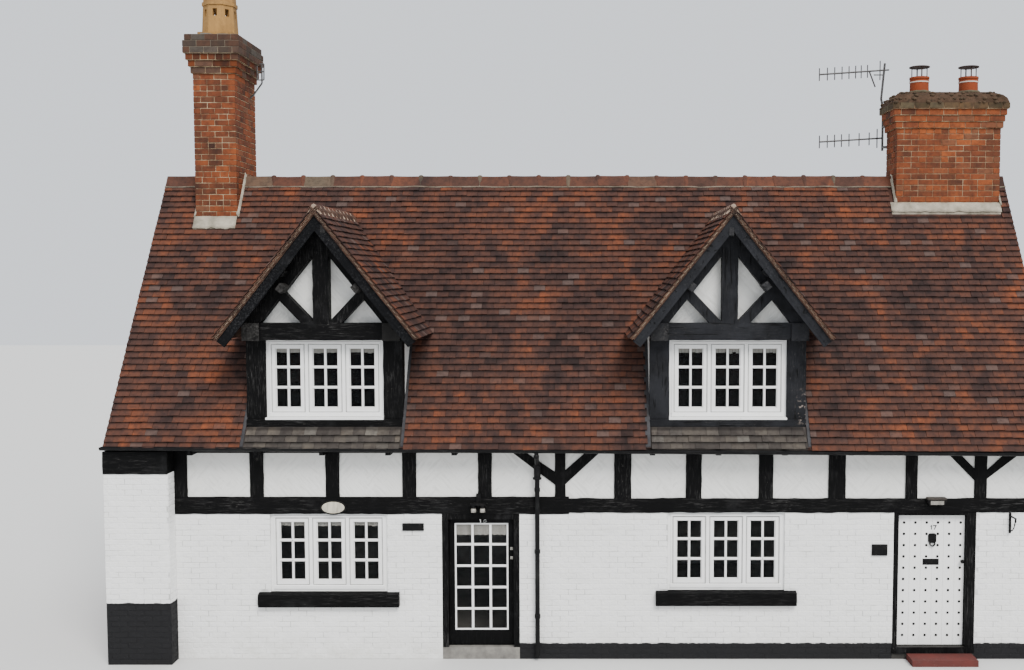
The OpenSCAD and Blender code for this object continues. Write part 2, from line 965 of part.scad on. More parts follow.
module right_stack() {
    color([0.55, 0.28, 0.19])
        difference() {
            union() {
                stack(right_stack_x, right_stack_y, right_stack_width, right_stack_depth,
                    right_stack_height, [[3, 28, 2], [2, 47, 1], [1, 66, 0]]);
                flaunching();
            }
            for (side = [-1, 1])
                translate([right_stack_x + side * pot_offset,
                        right_stack_y + right_stack_depth / 2, floor_level - 10])
                    cylinder(h = right_stack_height + flaunching_height, r = right_flue);
        }
}

// tall eight-sided pot, narrower upwards, with a square foot, two bands and
// a slot in each face
module left_pot() {
    foot = 522;
    shaft = 880;
    slot_half = 32;
    color([0.66, 0.55, 0.36])
        translate([left_pot_x, left_pot_y, left_stack_height])
            difference() {
                union() {
                    block([-foot / 2, -foot / 2, 0], [foot / 2, foot / 2, 80]);
                    rotate([0, 0, 22.5]) {
                        cylinder(h = shaft, r1 = 272, r2 = 226, $fn = 8);
                        translate([0, 0, 500])
                            cylinder(h = 55, r = 262, $fn = 8);
                        translate([0, 0, shaft - 60])
                            cylinder(h = 90, r = 250, $fn = 8);
                    }
                }
                translate([0, 0, -10])
                    cylinder(h = 1000, r = 165);
                for (turn = [0 : 45 : 315])
                    rotate([0, 0, turn])
                        block([130, -slot_half, 330], [300, slot_half, 440]);
            }
}

module at_right_pots(z) {
    for (side = [-1, 1])
        translate([right_stack_x + side * pot_offset, right_stack_y + right_stack_depth / 2, z])
            children();
}

module right_pots() {
    color([0.62, 0.30, 0.19])
        at_right_pots(right_stack_height + flaunching_height)
            difference() {
                union() {
                    cylinder(h = pot_height, r1 = 145, r2 = 138);
                    translate([0, 0, pot_height - 85])
                        cylinder(h = 30, r = 148);
                    translate([0, 0, pot_height - 30])
                        cylinder(h = 30, r = 150);
                }
                translate([0, 0, -10])
                    cylinder(h = 500, r = right_flue);
            }
}

// metal rain caps: a thin shallow dome on four straps
module pot_cowls() {
    color([0.25, 0.20, 0.18])
        at_right_pots(right_stack_height + flaunching_height + pot_height)
            union() {
                for (turn = [0 : 90 : 270])
                    rotate([0, 0, turn])
                        block([112, -9, 0], [122, 9, 152]);
                translate([0, 0, 150])
                    cylinder(h = 12, r = 155);
                translate([0, 0, 161])
                    cylinder(h = 22, r1 = 150, r2 = 40);
            }
}

// half round gutter profile in Y and Z
module gutter_shape() {
    difference() {
        circle(r = gutter_radius);
        circle(r = gutter_radius - gutter_wall);
        translate([-100, 0])
            square([200, 100]);
    }
}

// gutter with closed ends, laid to its fall and held by a plate at each rafter
module gutter_run() {
    translate([0, gutter_y, gutter_z])
        rotate([0, atan2(gutter_fall, half_length), 0]) {
            run_x(-half_length, half_length)
                gutter_shape();
            for (x = [-half_length, half_length - gutter_wall])
                run_x(x, x + gutter_wall)
                    intersection() {
                        circle(r = gutter_radius - 2);
                        translate([-100, -100])
                            square([200, 100]);
                    }
        }
    for (i = [0 : last_rafter]) {
        x = rafter_x(i);
        translate([x, 0, 0])
            block([-15, rafter_end_y - 11, eaves_foot_z - rafter_depth + 4],
                [15, rafter_end_y, gutter_z - gutter_fall * x / half_length - 6]);
    }
}

module rain_goods() {
    pipe_x = -643 * spread;
    pipe_y = front_y - 75;
    pipe_foot = 60;
    socket_radius = pipe_radius + 14;
    collar_z = plate_level - 346;
    bend_z = plate_level - 150;
    outlet_z = gutter_z - gutter_radius - 42;
    reach = pipe_y - gutter_y;
    rise = outlet_z - bend_z;
    color([0.05, 0.05, 0.05]) {
        both_sides()
            gutter_run();
        translate([pipe_x, pipe_y, pipe_foot])
            cylinder(h = bend_z - pipe_foot, r = pipe_radius);
        translate([pipe_x, pipe_y, collar_z])
            cylinder(h = 24, r = socket_radius + 14);
        translate([pipe_x, pipe_y, collar_z])
            cylinder(h = bend_z - collar_z, r = socket_radius);
        translate([pipe_x, pipe_y, bend_z])
            sphere(r = pipe_radius + 7);
        translate([pipe_x, pipe_y, bend_z])
            rotate([atan2(reach, rise), 0, 0])
                cylinder(h = sqrt(reach * reach + rise * rise), r = pipe_radius);
        translate([pipe_x, gutter_y, outlet_z])
            sphere(r = pipe_radius + 6);
        translate([pipe_x, gutter_y, outlet_z])
            cylinder(h = 48, r = pipe_radius - 4);
        for (z = [600, 1500, 2350])
            translate([pipe_x, pipe_y, z]) {
                cylinder(h = 50, r = pipe_radius + 8);
                block([-12, 20, 10], [12, 75, 40]);
            }
    }
}

// a sheet lying on the main slope between two distances behind the front
module slope_sheet(x0, x1, y0, y1, thick) {
    run_x(x0, x1)
        polygon([[front_y + y0, roof_at(front_y + y0) + seat],
            [front_y + y1, roof_at(front_y + y1) + seat],
            [front_y + y1, roof_at(front_y + y1) + thick],
            [front_y + y0, roof_at(front_y + y0) + thick]]);
}

module flashings() {
    color([0.36, 0.36, 0.37]) {
        slope_sheet(left_stack_x - left_stack_width / 2 - 10, left_stack_x + left_stack_width / 2,
            left_stack_setback - left_apron, left_stack_setback, 30);
        slope_sheet(right_stack_x - right_stack_width / 2 - 90,
            right_stack_x + right_stack_width / 2, right_stack_setback - right_apron,
            right_stack_setback, 30);
        at_dormers()
            for (side = [-1, 1])
                translate([side * (dormer_width / 2 + 45), 0, 0])
                    slope_sheet(-45, 45, -eaves_reach + 5, cheek_run / 2, 14);
    }
}

// bulkhead lamp over the plank door, narrower towards its foot
module bulkhead_lamp() {
    half = 128;
    reach = 90;
    translate([4793 * spread, 0, right_rail_level + 112])
        run_y(front_y - timber_proud - reach, front_y - timber_proud)
            polygon([[-half + 30, 0], [half - 30, 0], [half, 62], [half - 8, 92],
                [half - 26, 100], [26 - half, 100], [8 - half, 92], [-half, 62]]);
}

// oval plaque on the rail over the left window
module oval_plaque() {
    half_width = 180;
    half_height = 100;
    oval = [for (turn = [0 : 7.5 : 352.5]) [half_width * cos(turn), half_height * sin(turn)]];
    translate([-3433 * spread, front_y - timber_proud, rail_level + 90])
        rotate([90, 0, 0])
            linear_extrude(18)
                polygon(oval);
}

// twin lantern over the glazed door: back plate, cross arm, two shades
module twin_lantern() {
    reach = 80;
    shade = 100;
    translate([-1448 * spread, front_y - timber_proud, rail_level + 40]) {
        block([-32, -20, 70], [32, 0, 240]);
        block([-100, -reach - 35, shade - 2], [100, -20, shade + 22]);
        for (side = [-1, 1])
            translate([side * 62, -reach, 0])
                cylinder(h = shade, r1 = 36, r2 = 24);
    }
}

// iron bracket for a hanging basket
module hanging_bracket() {
    height = 280;
    reach = 220;
    translate([5820 * spread, front_y, rail_level - 265]) {
        block([-12, -8, 0], [12, 0, height]);
        block([-8, -reach, height - 48], [8, -7, height - 32]);
    }
}

module wall_fittings() {
    color([0.08, 0.08, 0.08]) {
        bulkhead_lamp();
        oval_plaque();
        twin_lantern();
        hanging_bracket();
    }
}

ground_floor();
upper_floor();
front_wall_left();
front_wall_middle();
front_wall_right();
end_pier();
pier_head();
party_wall_left();
party_wall_right();
rear_wall();
front_rail();
front_studs();
front_braces();
wall_plates();
front_panels();
rear_frame();
rear_panels();
front_slope();
rear_slope();
ridge_tiles();
dormer_frames();
dormer_trusses();
dormer_infill();
dormer_roofs();
dormer_barges();
dormer_aprons();
dormer_windows();
upper_glass();
ground_windows();
window_sills();
ground_glass();
door_frames();
left_door();
left_door_glass();
right_door();
right_door_ironwork();
door_steps();
left_stack();
right_stack();
left_pot();
right_pots();
pot_cowls();
rain_goods();
flashings();
wall_fittings();
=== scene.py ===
import math
import random

import bmesh
import bpy
from mathutils import Matrix, Vector, noise


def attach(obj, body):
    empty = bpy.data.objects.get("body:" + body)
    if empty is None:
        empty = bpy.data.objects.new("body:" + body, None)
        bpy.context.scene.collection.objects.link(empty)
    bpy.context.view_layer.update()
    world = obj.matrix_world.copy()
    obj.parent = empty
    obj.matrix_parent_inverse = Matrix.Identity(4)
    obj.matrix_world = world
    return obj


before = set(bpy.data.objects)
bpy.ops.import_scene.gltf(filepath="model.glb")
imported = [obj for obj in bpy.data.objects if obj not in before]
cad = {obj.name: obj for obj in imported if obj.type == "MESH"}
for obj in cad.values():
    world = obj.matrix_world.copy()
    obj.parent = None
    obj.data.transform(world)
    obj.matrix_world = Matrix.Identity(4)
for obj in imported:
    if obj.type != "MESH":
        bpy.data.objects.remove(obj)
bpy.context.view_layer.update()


# ---- Studio ----
# A pale floor, a broad soft key light from the upper right and an even pale
# surround. The camera looks at the front, level with the dormers' gables.
def add_node(tree, kind, sockets=None, **settings):
    """A node with its settings made and its sockets set or joined."""
    made = tree.nodes.new(kind)
    for key, value in settings.items():
        setattr(made, key, value)
    for key, value in (sockets or {}).items():
        if isinstance(value, bpy.types.NodeSocket):
            tree.links.new(value, made.inputs[key])
        else:
            made.inputs[key].default_value = value
    return made


def new_finish(name, colour, roughness, shine=0.5):
    finish = bpy.data.materials.new(name)
    finish.use_nodes = True
    finish.diffuse_color = (*colour, 1)
    shader = finish.node_tree.nodes["Principled BSDF"]
    shader.inputs["Base Color"].default_value = (*colour, 1)
    shader.inputs["Roughness"].default_value = roughness
    shader.inputs["Specular IOR Level"].default_value = shine
    return finish, finish.node_tree, shader


floor_half = 60
floor_work = bmesh.new()
bmesh.ops.create_grid(floor_work, x_segments=1, y_segments=1, size=floor_half)
floor_mesh = bpy.data.meshes.new("floor")
floor_work.to_mesh(floor_mesh)
floor_work.free()
floor = bpy.data.objects.new("floor", floor_mesh)
floor.location = (0, 0, -0.001)
bpy.context.scene.collection.objects.link(floor)
floor_mesh.materials.append(new_finish("studio_floor", (0.62, 0.62, 0.61), 0.9, 0.2)[0])

surround = bpy.data.worlds.new("surround")
surround.use_nodes = True
sky = surround.node_tree.nodes["Background"]
sky.inputs["Color"].default_value = (0.90, 0.94, 1.0, 1)
sky.inputs["Strength"].default_value = 1.2
bpy.context.scene.world = surround

key_height, key_side = 42, 25
key_data = bpy.data.lights.new("key", "SUN")
key_data.energy = 4.25
key_data.angle = 0.5
key_data.color = (1.0, 0.97, 0.93)
key = bpy.data.objects.new("key", key_data)
key.rotation_euler = (math.radians(key_height), 0, math.radians(key_side))
bpy.context.scene.collection.objects.link(key)

camera_dip = 3.43
camera_data = bpy.data.cameras.new("camera")
camera_data.lens = 36.914
camera_data.shift_x = -0.0762
camera_data.clip_end = 200
camera = bpy.data.objects.new("camera", camera_data)
camera.location = (0.075, -16.4, 5.33)
camera.rotation_euler = (math.radians(90 - camera_dip), 0, 0)
bpy.context.scene.collection.objects.link(camera)
bpy.context.scene.camera = camera


# ---- Painted brick walls ----
# The ground storey is brick under many coats of white masonry paint, laid in
# stretcher courses that stand a little out of their filled joints. A tarred
# foot runs high round the end pier, and low from the left door to the right end.
def new_group(name, kind, inputs, outputs):
    """A node group with its named sockets and its two end nodes."""
    group = bpy.data.node_groups.new(name, kind)
    for way, sockets in (("INPUT", inputs), ("OUTPUT", outputs)):
        for title, what in sockets.items():
            group.interface.new_socket(title, in_out=way, socket_type="NodeSocket" + what)
    return group, group.nodes.new("NodeGroupInput"), group.nodes.new("NodeGroupOutput")


def level_mask(tree, value, low, high, low_is=0.0, high_is=1.0):
    """low_is where value is low and high_is where it is high."""
    return add_node(tree, "ShaderNodeMapRange",
                    {"Value": value, "From Min": low, "From Max": high,
                     "To Min": low_is, "To Max": high_is}).outputs["Result"]


def house_place(tree, axis=None):
    """The place on the house, or its X, Y or Z alone."""
    place = add_node(tree, "ShaderNodeTexCoord").outputs["Object"]
    return add_node(tree, "ShaderNodeSeparateXYZ", {0: place}).outputs[axis] if axis else place


def stain_group():
    group, entry, leave = new_group(
        "stain", "ShaderNodeTree",
        {"Scale": "Float", "Stretch": "Vector", "Low": "Float", "High": "Float"}, {"Mask": "Float"})
    spread = add_node(group, "ShaderNodeVectorMath",
                      {0: house_place(group), 1: entry.outputs["Stretch"]}, operation="MULTIPLY")
    cloud = add_node(group, "ShaderNodeTexNoise",
                     {"Vector": spread.outputs[0], "Scale": entry.outputs["Scale"],
                      "Detail": 6.0, "Roughness": 0.62})
    mask = level_mask(group, cloud.outputs["Fac"], entry.outputs["Low"], entry.outputs["High"])
    group.links.new(mask, leave.inputs["Mask"])
    return group


stain = stain_group()


def add_stain(tree, scale, low=0.2, high=0.8, stretch=(1, 1, 1)):
    return add_node(tree, "ShaderNodeGroup",
                    {"Scale": scale, "Stretch": stretch, "Low": low, "High": high},
                    node_tree=stain).outputs["Mask"]


def combine(tree, first, second, kind="MULTIPLY"):
    return add_node(tree, "ShaderNodeMath", {0: first, 1: second}, operation=kind).outputs[0]


def blend_colours(tree, mask, first, second, strength=1.0):
    """first where the mask is 0, and second where it is 1."""
    if strength != 1.0:
        mask = combine(tree, mask, strength)
    colours = {index: colour if isinstance(colour, bpy.types.NodeSocket) else (*colour, 1)
               for index, colour in ((6, first), (7, second))}
    return add_node(tree, "ShaderNodeMix", {0: mask, **colours}, data_type="RGBA").outputs[2]


def cloud_over(tree, under, over, strength, scale, low, high, stretch=(1, 1, 1)):
    """Lays one colour over another in the clouds of a stain."""
    return blend_colours(tree, add_stain(tree, scale, low, high, stretch), under, over, strength)


def zone(tree, *limits):
    """A soft mask; each limit is (axis, where it is 0, where it is 1)."""
    masks = [level_mask(tree, house_place(tree, axis), low, high) for axis, low, high in limits]
    whole = masks[0]
    for mask in masks[1:]:
        whole = combine(tree, whole, mask)
    return whole


def paint_on(tree, shader, colour, height, strength, depth):
    """Gives a finish its colour and the relief of its surface."""
    tree.links.new(colour, shader.inputs["Base Color"])
    bump = add_node(tree, "ShaderNodeBump", {"Height": height, "Strength": strength, "Distance": depth})
    tree.links.new(bump.outputs["Normal"], shader.inputs["Normal"])


def tarred_foot(tree, colour, x_limit, top):
    """Black below a ragged line at height top, in front of the house only."""
    wave = combine(tree, add_stain(tree, 9), 0.03)
    lifted = combine(tree, house_place(tree, "Z"), wave, "ADD")
    below = level_mask(tree, lifted, top + 0.018, top + 0.010)
    mask = combine(tree, below, zone(tree, x_limit, ("Y", 0.01, 0.0)))
    return blend_colours(tree, mask, colour, (0.010, 0.010, 0.011))


def white_wall_finish(name, shade):
    """shade is 1 on the bricks and less in the joints between them."""
    finish, tree, shader = new_finish(name, (0.86 * shade, 0.86 * shade, 0.85 * shade), 0.78, 0.2)
    colour = cloud_over(tree, (0.87, 0.87, 0.86), (0.76, 0.76, 0.745), 0.6, 0.9, 0.42, 0.78)
    colour = cloud_over(tree, colour, (0.60, 0.60, 0.57), 0.4, 3.4, 0.55, 0.80, (0.5, 0.5, 2.2))
    splash = combine(tree, zone(tree, ("Z", 0.50, 0.0)), add_stain(tree, 5, 0.25, 0.75))
    colour = blend_colours(tree, splash, colour, (0.40, 0.39, 0.33), 0.6)
    colour = cloud_over(tree, colour, (0.33, 0.32, 0.29), 0.3, 26, 0.68, 0.80)
    if shade < 1:
        joint = (0.86 * shade, 0.86 * shade, 0.84 * shade)
        colour = cloud_over(tree, colour, joint, 1.0, 4, 0.44, 0.62)
    for x_limit, top in ((("X", -5.595, -5.600), 0.855), (("X", -0.900, -0.895), 0.225)):
        colour = tarred_foot(tree, colour, x_limit, top)
    coats = combine(tree, add_stain(tree, 26), combine(tree, add_stain(tree, 5, 0.3, 0.7), 0.8), "ADD")
    paint_on(tree, shader, colour, coats, 0.75, 0.009)
    return finish


def dress(finish, *nodes):
    """Gives CAD nodes a finish of their own."""
    for node in nodes:
        cad[node].data.materials.clear()
        cad[node].data.materials.append(finish)


white_wall = white_wall_finish("white_masonry_paint", 1.0)
white_joints = white_wall_finish("white_painted_joints", 0.60)
dress(white_joints, "front_wall_left", "front_wall_middle", "front_wall_right", "end_pier", "rear_wall")


def laying_tree():
    """Lays a piece on each place, turned and lifted a little by chance."""
    tree, entry, leave = new_group(
        "laying", "GeometryNodeTree",
        {"Places": "Geometry", "Piece": "Object", "Finish": "Material",
         "Turn Jitter": "Float", "Lift Jitter": "Float", "Seed": "Int"}, {"Laid": "Geometry"})

    def chance(step, kind="FLOAT", **sockets):
        seed = entry.outputs["Seed"]
        if step:
            seed = add_node(tree, "ShaderNodeMath", {0: seed, 1: step}).outputs[0]
        return add_node(tree, "FunctionNodeRandomValue", {"Seed": seed, **sockets}, data_type=kind)

    piece = add_node(tree, "GeometryNodeObjectInfo", {"Object": entry.outputs["Piece"]})
    size, turn = (add_node(tree, "GeometryNodeInputNamedAttribute", {"Name": title},
                           data_type="FLOAT_VECTOR").outputs[0] for title in ("size", "turn"))
    shake = chance(0.0, "FLOAT_VECTOR", Min=(-1, -1, -1), Max=(1, 1, 1))
    scaled = add_node(tree, "ShaderNodeVectorMath",
                      {0: shake.outputs[0], "Scale": entry.outputs["Turn Jitter"]}, operation="SCALE")
    turned = add_node(tree, "ShaderNodeVectorMath", {0: turn, 1: scaled.outputs[0]}, operation="ADD")
    rotation = add_node(tree, "FunctionNodeEulerToRotation", {0: turned.outputs[0]})
    laid = add_node(tree, "GeometryNodeInstanceOnPoints",
                    {"Points": entry.outputs["Places"], "Instance": piece.outputs["Geometry"],
                     "Rotation": rotation.outputs[0], "Scale": size})
    lift = combine(tree, chance(7.0).outputs[1], entry.outputs["Lift Jitter"])
    lift_way = add_node(tree, "ShaderNodeCombineXYZ", {"Z": lift})
    last = add_node(tree, "GeometryNodeTranslateInstances",
                    {"Instances": laid.outputs[0], "Translation": lift_way.outputs[0]}).outputs[0]
    for title, step in (("tone", 1.0), ("tone_b", 2.0)):
        last = add_node(tree, "GeometryNodeStoreNamedAttribute",
                        {"Geometry": last, "Name": title, "Value": chance(step).outputs[1]},
                        data_type="FLOAT", domain="INSTANCE").outputs[0]
    solid = add_node(tree, "GeometryNodeRealizeInstances", {"Geometry": last})
    dressed = add_node(tree, "GeometryNodeSetMaterial",
                       {"Geometry": solid.outputs[0], "Material": entry.outputs["Finish"]})
    tree.links.new(dressed.outputs[0], leave.inputs[0])
    return tree


laying = laying_tree()


def close_mesh(name, work, smooth=False):
    """Turns a work into a mesh whose faces point outwards."""
    bmesh.ops.recalc_face_normals(work, faces=work.faces)
    mesh = bpy.data.meshes.new(name)
    work.to_mesh(mesh)
    work.free()
    if smooth:
        mesh.shade_smooth()
    return mesh


def pattern_piece(work, smooth=False, run=None):
    """run(point) is kept on each vertex, for dirt and painted shade that gather along a piece."""
    mesh = close_mesh("pattern", work, smooth)
    if run:
        held = mesh.attributes.new("run", "FLOAT", "POINT")
        held.data.foreach_set("value", [run(vert.co) for vert in mesh.vertices])
    return bpy.data.objects.new("pattern", mesh)


def fix_piece(name, mesh, finish, body):
    """Puts a finished mesh on the body that carries it."""
    mesh.materials.clear()
    mesh.materials.append(finish)
    piece = bpy.data.objects.new(name, mesh)
    bpy.context.scene.collection.objects.link(piece)
    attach(piece, body)


def lay(name, places, piece, finish, seed, turn_jitter=0.0, lift_jitter=0.0, body="house"):
    """places holds (position, size, turn) for each piece that is laid."""
    mesh = bpy.data.meshes.new(name + "_places")
    mesh.from_pydata([place[0] for place in places], [], [])
    for title, index in (("size", 1), ("turn", 2)):
        held = mesh.attributes.new(title, "FLOAT_VECTOR", "POINT")
        held.data.foreach_set("vector", [value for place in places for value in place[index]])
    carrier = bpy.data.objects.new(name + "_places", mesh)
    bpy.context.scene.collection.objects.link(carrier)
    modifier = carrier.modifiers.new("laying", "NODES")
    modifier.node_group = laying
    given = {"Piece": piece, "Finish": finish, "Turn Jitter": turn_jitter,
             "Lift Jitter": lift_jitter, "Seed": seed}
    for item in laying.interface.items_tree:
        if item.in_out == "INPUT" and item.name in given:
            modifier[item.identifier] = given[item.name]
    graph = bpy.context.evaluated_depsgraph_get()
    solid = bpy.data.meshes.new_from_object(carrier.evaluated_get(graph), depsgraph=graph)
    solid.name = name
    carrier.modifiers.clear()
    bpy.data.objects.remove(carrier)
    fix_piece(name, solid, finish, body)


def add_box(work, low, high, bevel=0.0):
    size = [high[i] - low[i] for i in range(3)]
    middle = [(high[i] + low[i]) / 2 for i in range(3)]
    made = bmesh.ops.create_cube(work, size=1.0)["verts"]
    bmesh.ops.scale(work, vec=size, verts=made)
    if bevel:
        edges = list(dict.fromkeys(edge for vert in made for edge in vert.link_edges))
        made = bmesh.ops.bevel(work, geom=edges, offset=bevel, segments=1, affect="EDGES")["verts"]
    bmesh.ops.translate(work, vec=middle, verts=made)
    return made


brick_course, brick_step = 0.075, 0.225
brick_long, brick_high, brick_deep = 0.215, 0.067, 0.1025


def facing_brick():
    work = bmesh.new()
    half_long, half_high = brick_long / 2, brick_high / 2
    add_box(work, (-half_long, -0.004, -half_high), (half_long, 0.012, half_high), bevel=0.0035)
    return pattern_piece(work)


def course_spans(x0, x1, cuts):
    """The stretches of a course that are left between its cuts."""
    spans, start = [], x0
    for a, b in sorted(cuts):
        if a > start and start < x1:
            spans.append((start, min(a, x1)))
        start = max(start, b)
    if start < x1:
        spans.append((start, x1))
    return spans


quarter = math.pi / 2


def course_places(x0, x1, top_z, y, holes, facing):
    """Bricks for a wall face; holes are (x0, x1, z0, z1) left open."""
    shake = random.Random(int(1000 * (x0 + 20 * y)))
    places, row, z = [], 0, 0
    while z < top_z - 0.02:
        top = min(z + brick_course, top_z)
        cuts = [(a, b) for a, b, low, high in holes if low < top - 0.01 and high > z + 0.01]
        shift = (row % 2) * brick_step / 2
        for a, b in course_spans(x0, x1, cuts):
            at = math.floor((a - shift) / brick_step) * brick_step + shift
            while at < b:
                left, right = max(at, a), min(at + brick_step, b)
                if right - left > 0.04:
                    long = right - left - shake.uniform(0.006, 0.013)
                    high = top - z - shake.uniform(0.005, 0.010)
                    middle = (left + right) / 2
                    rise = (z + top) / 2 + shake.uniform(-0.001, 0.001)
                    face = y + shake.uniform(-0.0012, 0.0012)
                    spot = (face, middle, rise) if facing == "side" else (middle, face, rise)
                    turn = {"front": 0, "side": quarter, "yard": math.pi}[facing]
                    places.append((spot, (long / brick_long, 1, high / brick_high), (0, 0, turn)))
                at += brick_step
        z += brick_course
        row += 1
    return places


front_y, yard_y, pier_y = -2.2, 2.2, -2.42
half_length, pier_right = 6.475, -5.605
left_top, right_top, pier_top = 2.028, 2.048, 2.618
left_jambs, right_jambs = (-1.955, -0.893), (4.236, 5.365)
rail_joint = -0.2615
window_half, sill_half = 0.800, 0.965
left_window, right_window, rear_foot = (-3.507, 0.940), (1.942, 0.960), 0.940
front_holes, rear_holes = [], []
for x, foot in (left_window, right_window):
    for holes, low, high in ((front_holes, foot, foot + 1.10), (rear_holes, rear_foot, 2.05)):
        holes.append((x - window_half, x + window_half, low, high))
        holes.append((x - sill_half, x + sill_half, low - 0.195, low))
over_joint = [(left_jambs[1], rail_joint, 2.024, 2.06)]
front_bricks = []
for x0, x1, top_z, y, holes, facing in (
        (pier_right, left_jambs[0], left_top, front_y, front_holes, "front"),
        (left_jambs[1], right_jambs[0], right_top, front_y, front_holes + over_joint, "front"),
        (right_jambs[1], half_length, right_top, front_y, [], "front"),
        (-half_length, pier_right, pier_top, pier_y, [], "front"),
        (pier_y, front_y, pier_top, pier_right, [], "side")):
    front_bricks += course_places(x0, x1, top_z, y, holes, facing)
brick_pattern = facing_brick()
lay("street_brickwork", front_bricks, brick_pattern, white_wall, 3, turn_jitter=0.006)
lay("rear_brickwork", course_places(-half_length, half_length, left_top, yard_y, rear_holes, "yard"),
    brick_pattern, white_wall, 4, turn_jitter=0.006)


# ---- Timber frame ----
# Sawn oak posts, rails, braces and plates under worn black paint. Their front
# faces are hand hewn: the edges wander and the surface is uneven.
def grain_group():
    group, entry, leave = new_group("grain", "ShaderNodeTree", {"Stretch": "Vector"},
                                    {"Lines": "Float", "Shakes": "Float"})
    spread = add_node(group, "ShaderNodeVectorMath",
                      {0: house_place(group), 1: entry.outputs["Stretch"]}, operation="MULTIPLY").outputs[0]
    fine = add_node(group, "ShaderNodeTexNoise",
                    {"Vector": spread, "Scale": 7.0, "Detail": 8.0, "Roughness": 0.7})
    coarse = add_node(group, "ShaderNodeTexNoise",
                      {"Vector": spread, "Scale": 2.6, "Detail": 3.0, "Distortion": 0.5})
    group.links.new(fine.outputs["Fac"], leave.inputs["Lines"])
    group.links.new(level_mask(group, coarse.outputs["Fac"], 0.60, 0.68), leave.inputs["Shakes"])
    return group


grain = grain_group()


def timber_finish(name, stretch, colour=(0.0035, 0.0035, 0.0037), worn=(0.085, 0.083, 0.082), wear=0.60):
    """Black paint, worn grey in streaks, that has flaked off one dormer post."""
    finish, tree, shader = new_finish(name, colour, 0.6, 0.06)
    sawn = add_node(tree, "ShaderNodeGroup", {"Stretch": stretch}, node_tree=grain)
    lines, shakes = sawn.outputs["Lines"], sawn.outputs["Shakes"]
    streaks = level_mask(tree, lines, wear - 0.08, wear + 0.16)
    worn_areas = add_stain(tree, 1.3, 0.38, 0.66)
    tone = blend_colours(tree, combine(tree, streaks, worn_areas), colour, worn, 0.85)
    tone = cloud_over(tree, tone, (0.020, 0.020, 0.021), 0.6, 2.2, 0.58, 0.74)
    right_dormer = zone(tree, ("X", 0.5, 0.6), ("Z", 3.20, 3.25))
    faded = combine(tree, right_dormer, add_stain(tree, 3.0, 0.20, 0.60))
    tone = blend_colours(tree, faded, tone, (0.024, 0.025, 0.029), 0.75)
    chips = combine(tree, add_stain(tree, 15, 0.66, 0.71, stretch), worn_areas)
    tone = blend_colours(tree, chips, tone, (0.26, 0.25, 0.23), 0.7)
    post_foot = zone(tree, ("X", 2.86, 2.95), ("X", 3.05, 3.02), ("Z", 3.25, 3.30), ("Z", 3.80, 3.50))
    flaked = combine(tree, post_foot, add_stain(tree, 17, 0.55, 0.60))
    tone = blend_colours(tree, flaked, tone, (0.24, 0.20, 0.175), 0.85)
    tone = blend_colours(tree, shakes, tone, (0.004, 0.004, 0.004), 0.8)
    tree.links.new(level_mask(tree, lines, 0.3, 0.8, 0.42, 0.85), shader.inputs["Roughness"])
    paint_on(tree, shader, tone, combine(tree, lines, shakes, "SUBTRACT"), 0.6, 0.007)
    return finish


upright_timber = timber_finish("black_upright_timber", (9, 9, 0.9))
level_timber = timber_finish("black_level_timber", (0.9, 9, 9))
end_timber = timber_finish("grey_end_timber", (5, 5, 5), (0.016, 0.0155, 0.015), (0.13, 0.125, 0.12), 0.52)
dress(upright_timber, "front_studs", "front_braces", "dormer_trusses", "rear_frame", "door_frames")
dress(level_timber, "front_rail", "pier_head", "wall_plates", "dormer_frames", "dormer_barges",
      "window_sills")


def make_piece(name, work, finish, body="house", smooth=False):
    fix_piece(name, close_mesh(name, work, smooth), finish, body)


def solid_boxes(name):
    """The box of each separate solid of a CAD node."""
    work = bmesh.new()
    work.from_mesh(cad[name].data)
    bmesh.ops.remove_doubles(work, verts=work.verts, dist=0.0002)
    left, boxes = set(work.verts), []
    while left:
        group, front = [], [left.pop()]
        while front:
            vert = front.pop()
            group.append(vert.co)
            for edge in vert.link_edges:
                other = edge.other_vert(vert)
                if other in left:
                    left.discard(other)
                    front.append(other)
        boxes.append([[pick(co[i] for co in group) for i in range(3)] for pick in (min, max)])
    work.free()
    return sorted(boxes)


def waver(*place):
    """A value that wanders smoothly about zero from place to place."""
    return noise.noise(Vector(place))


def hewn_face(work, start, angle, long, wide, y, seed, wander=0.006, proud=0.007):
    """A hewn front face on the plane y, from a corner along a direction."""
    along = Vector((math.cos(angle), 0, math.sin(angle)))
    across = Vector((-math.sin(angle), 0, math.cos(angle)))
    steps, rows = max(3, int(long / 0.085)), 4
    corner = Vector((start[0], y, start[1]))
    fronts, backs = [], []
    for i in range(steps + 1):
        front, back = [], []
        for j in range(rows + 1):
            edge = (-1 if j == 0 else 1) if j in (0, rows) else 0
            drift = wander * (0.5 + waver(i * 0.55, seed * 3.7, edge * 9.1) * 1.3) * edge
            point = corner + along * (i / steps * long) + across * (j / rows * wide + drift)
            depth = proud * (0.35 if edge else 1 + 0.5 * waver(i * 0.8, j * 0.9, seed * 5.3))
            front.append(work.verts.new(point + Vector((0, -depth, 0))))
            back.append(work.verts.new(point + Vector((0, 0.004, 0))))
        fronts.append(front)
        backs.append(back)
    for i in range(steps):
        for j in range(rows):
            for side in (fronts, backs):
                work.faces.new((side[i][j], side[i + 1][j], side[i + 1][j + 1], side[i][j + 1]))
        for j in (0, rows):
            work.faces.new((fronts[i][j], fronts[i + 1][j], backs[i + 1][j], backs[i][j]))
    for i in (0, steps):
        for j in range(rows):
            work.faces.new((fronts[i][j], fronts[i][j + 1], backs[i][j + 1], backs[i][j]))


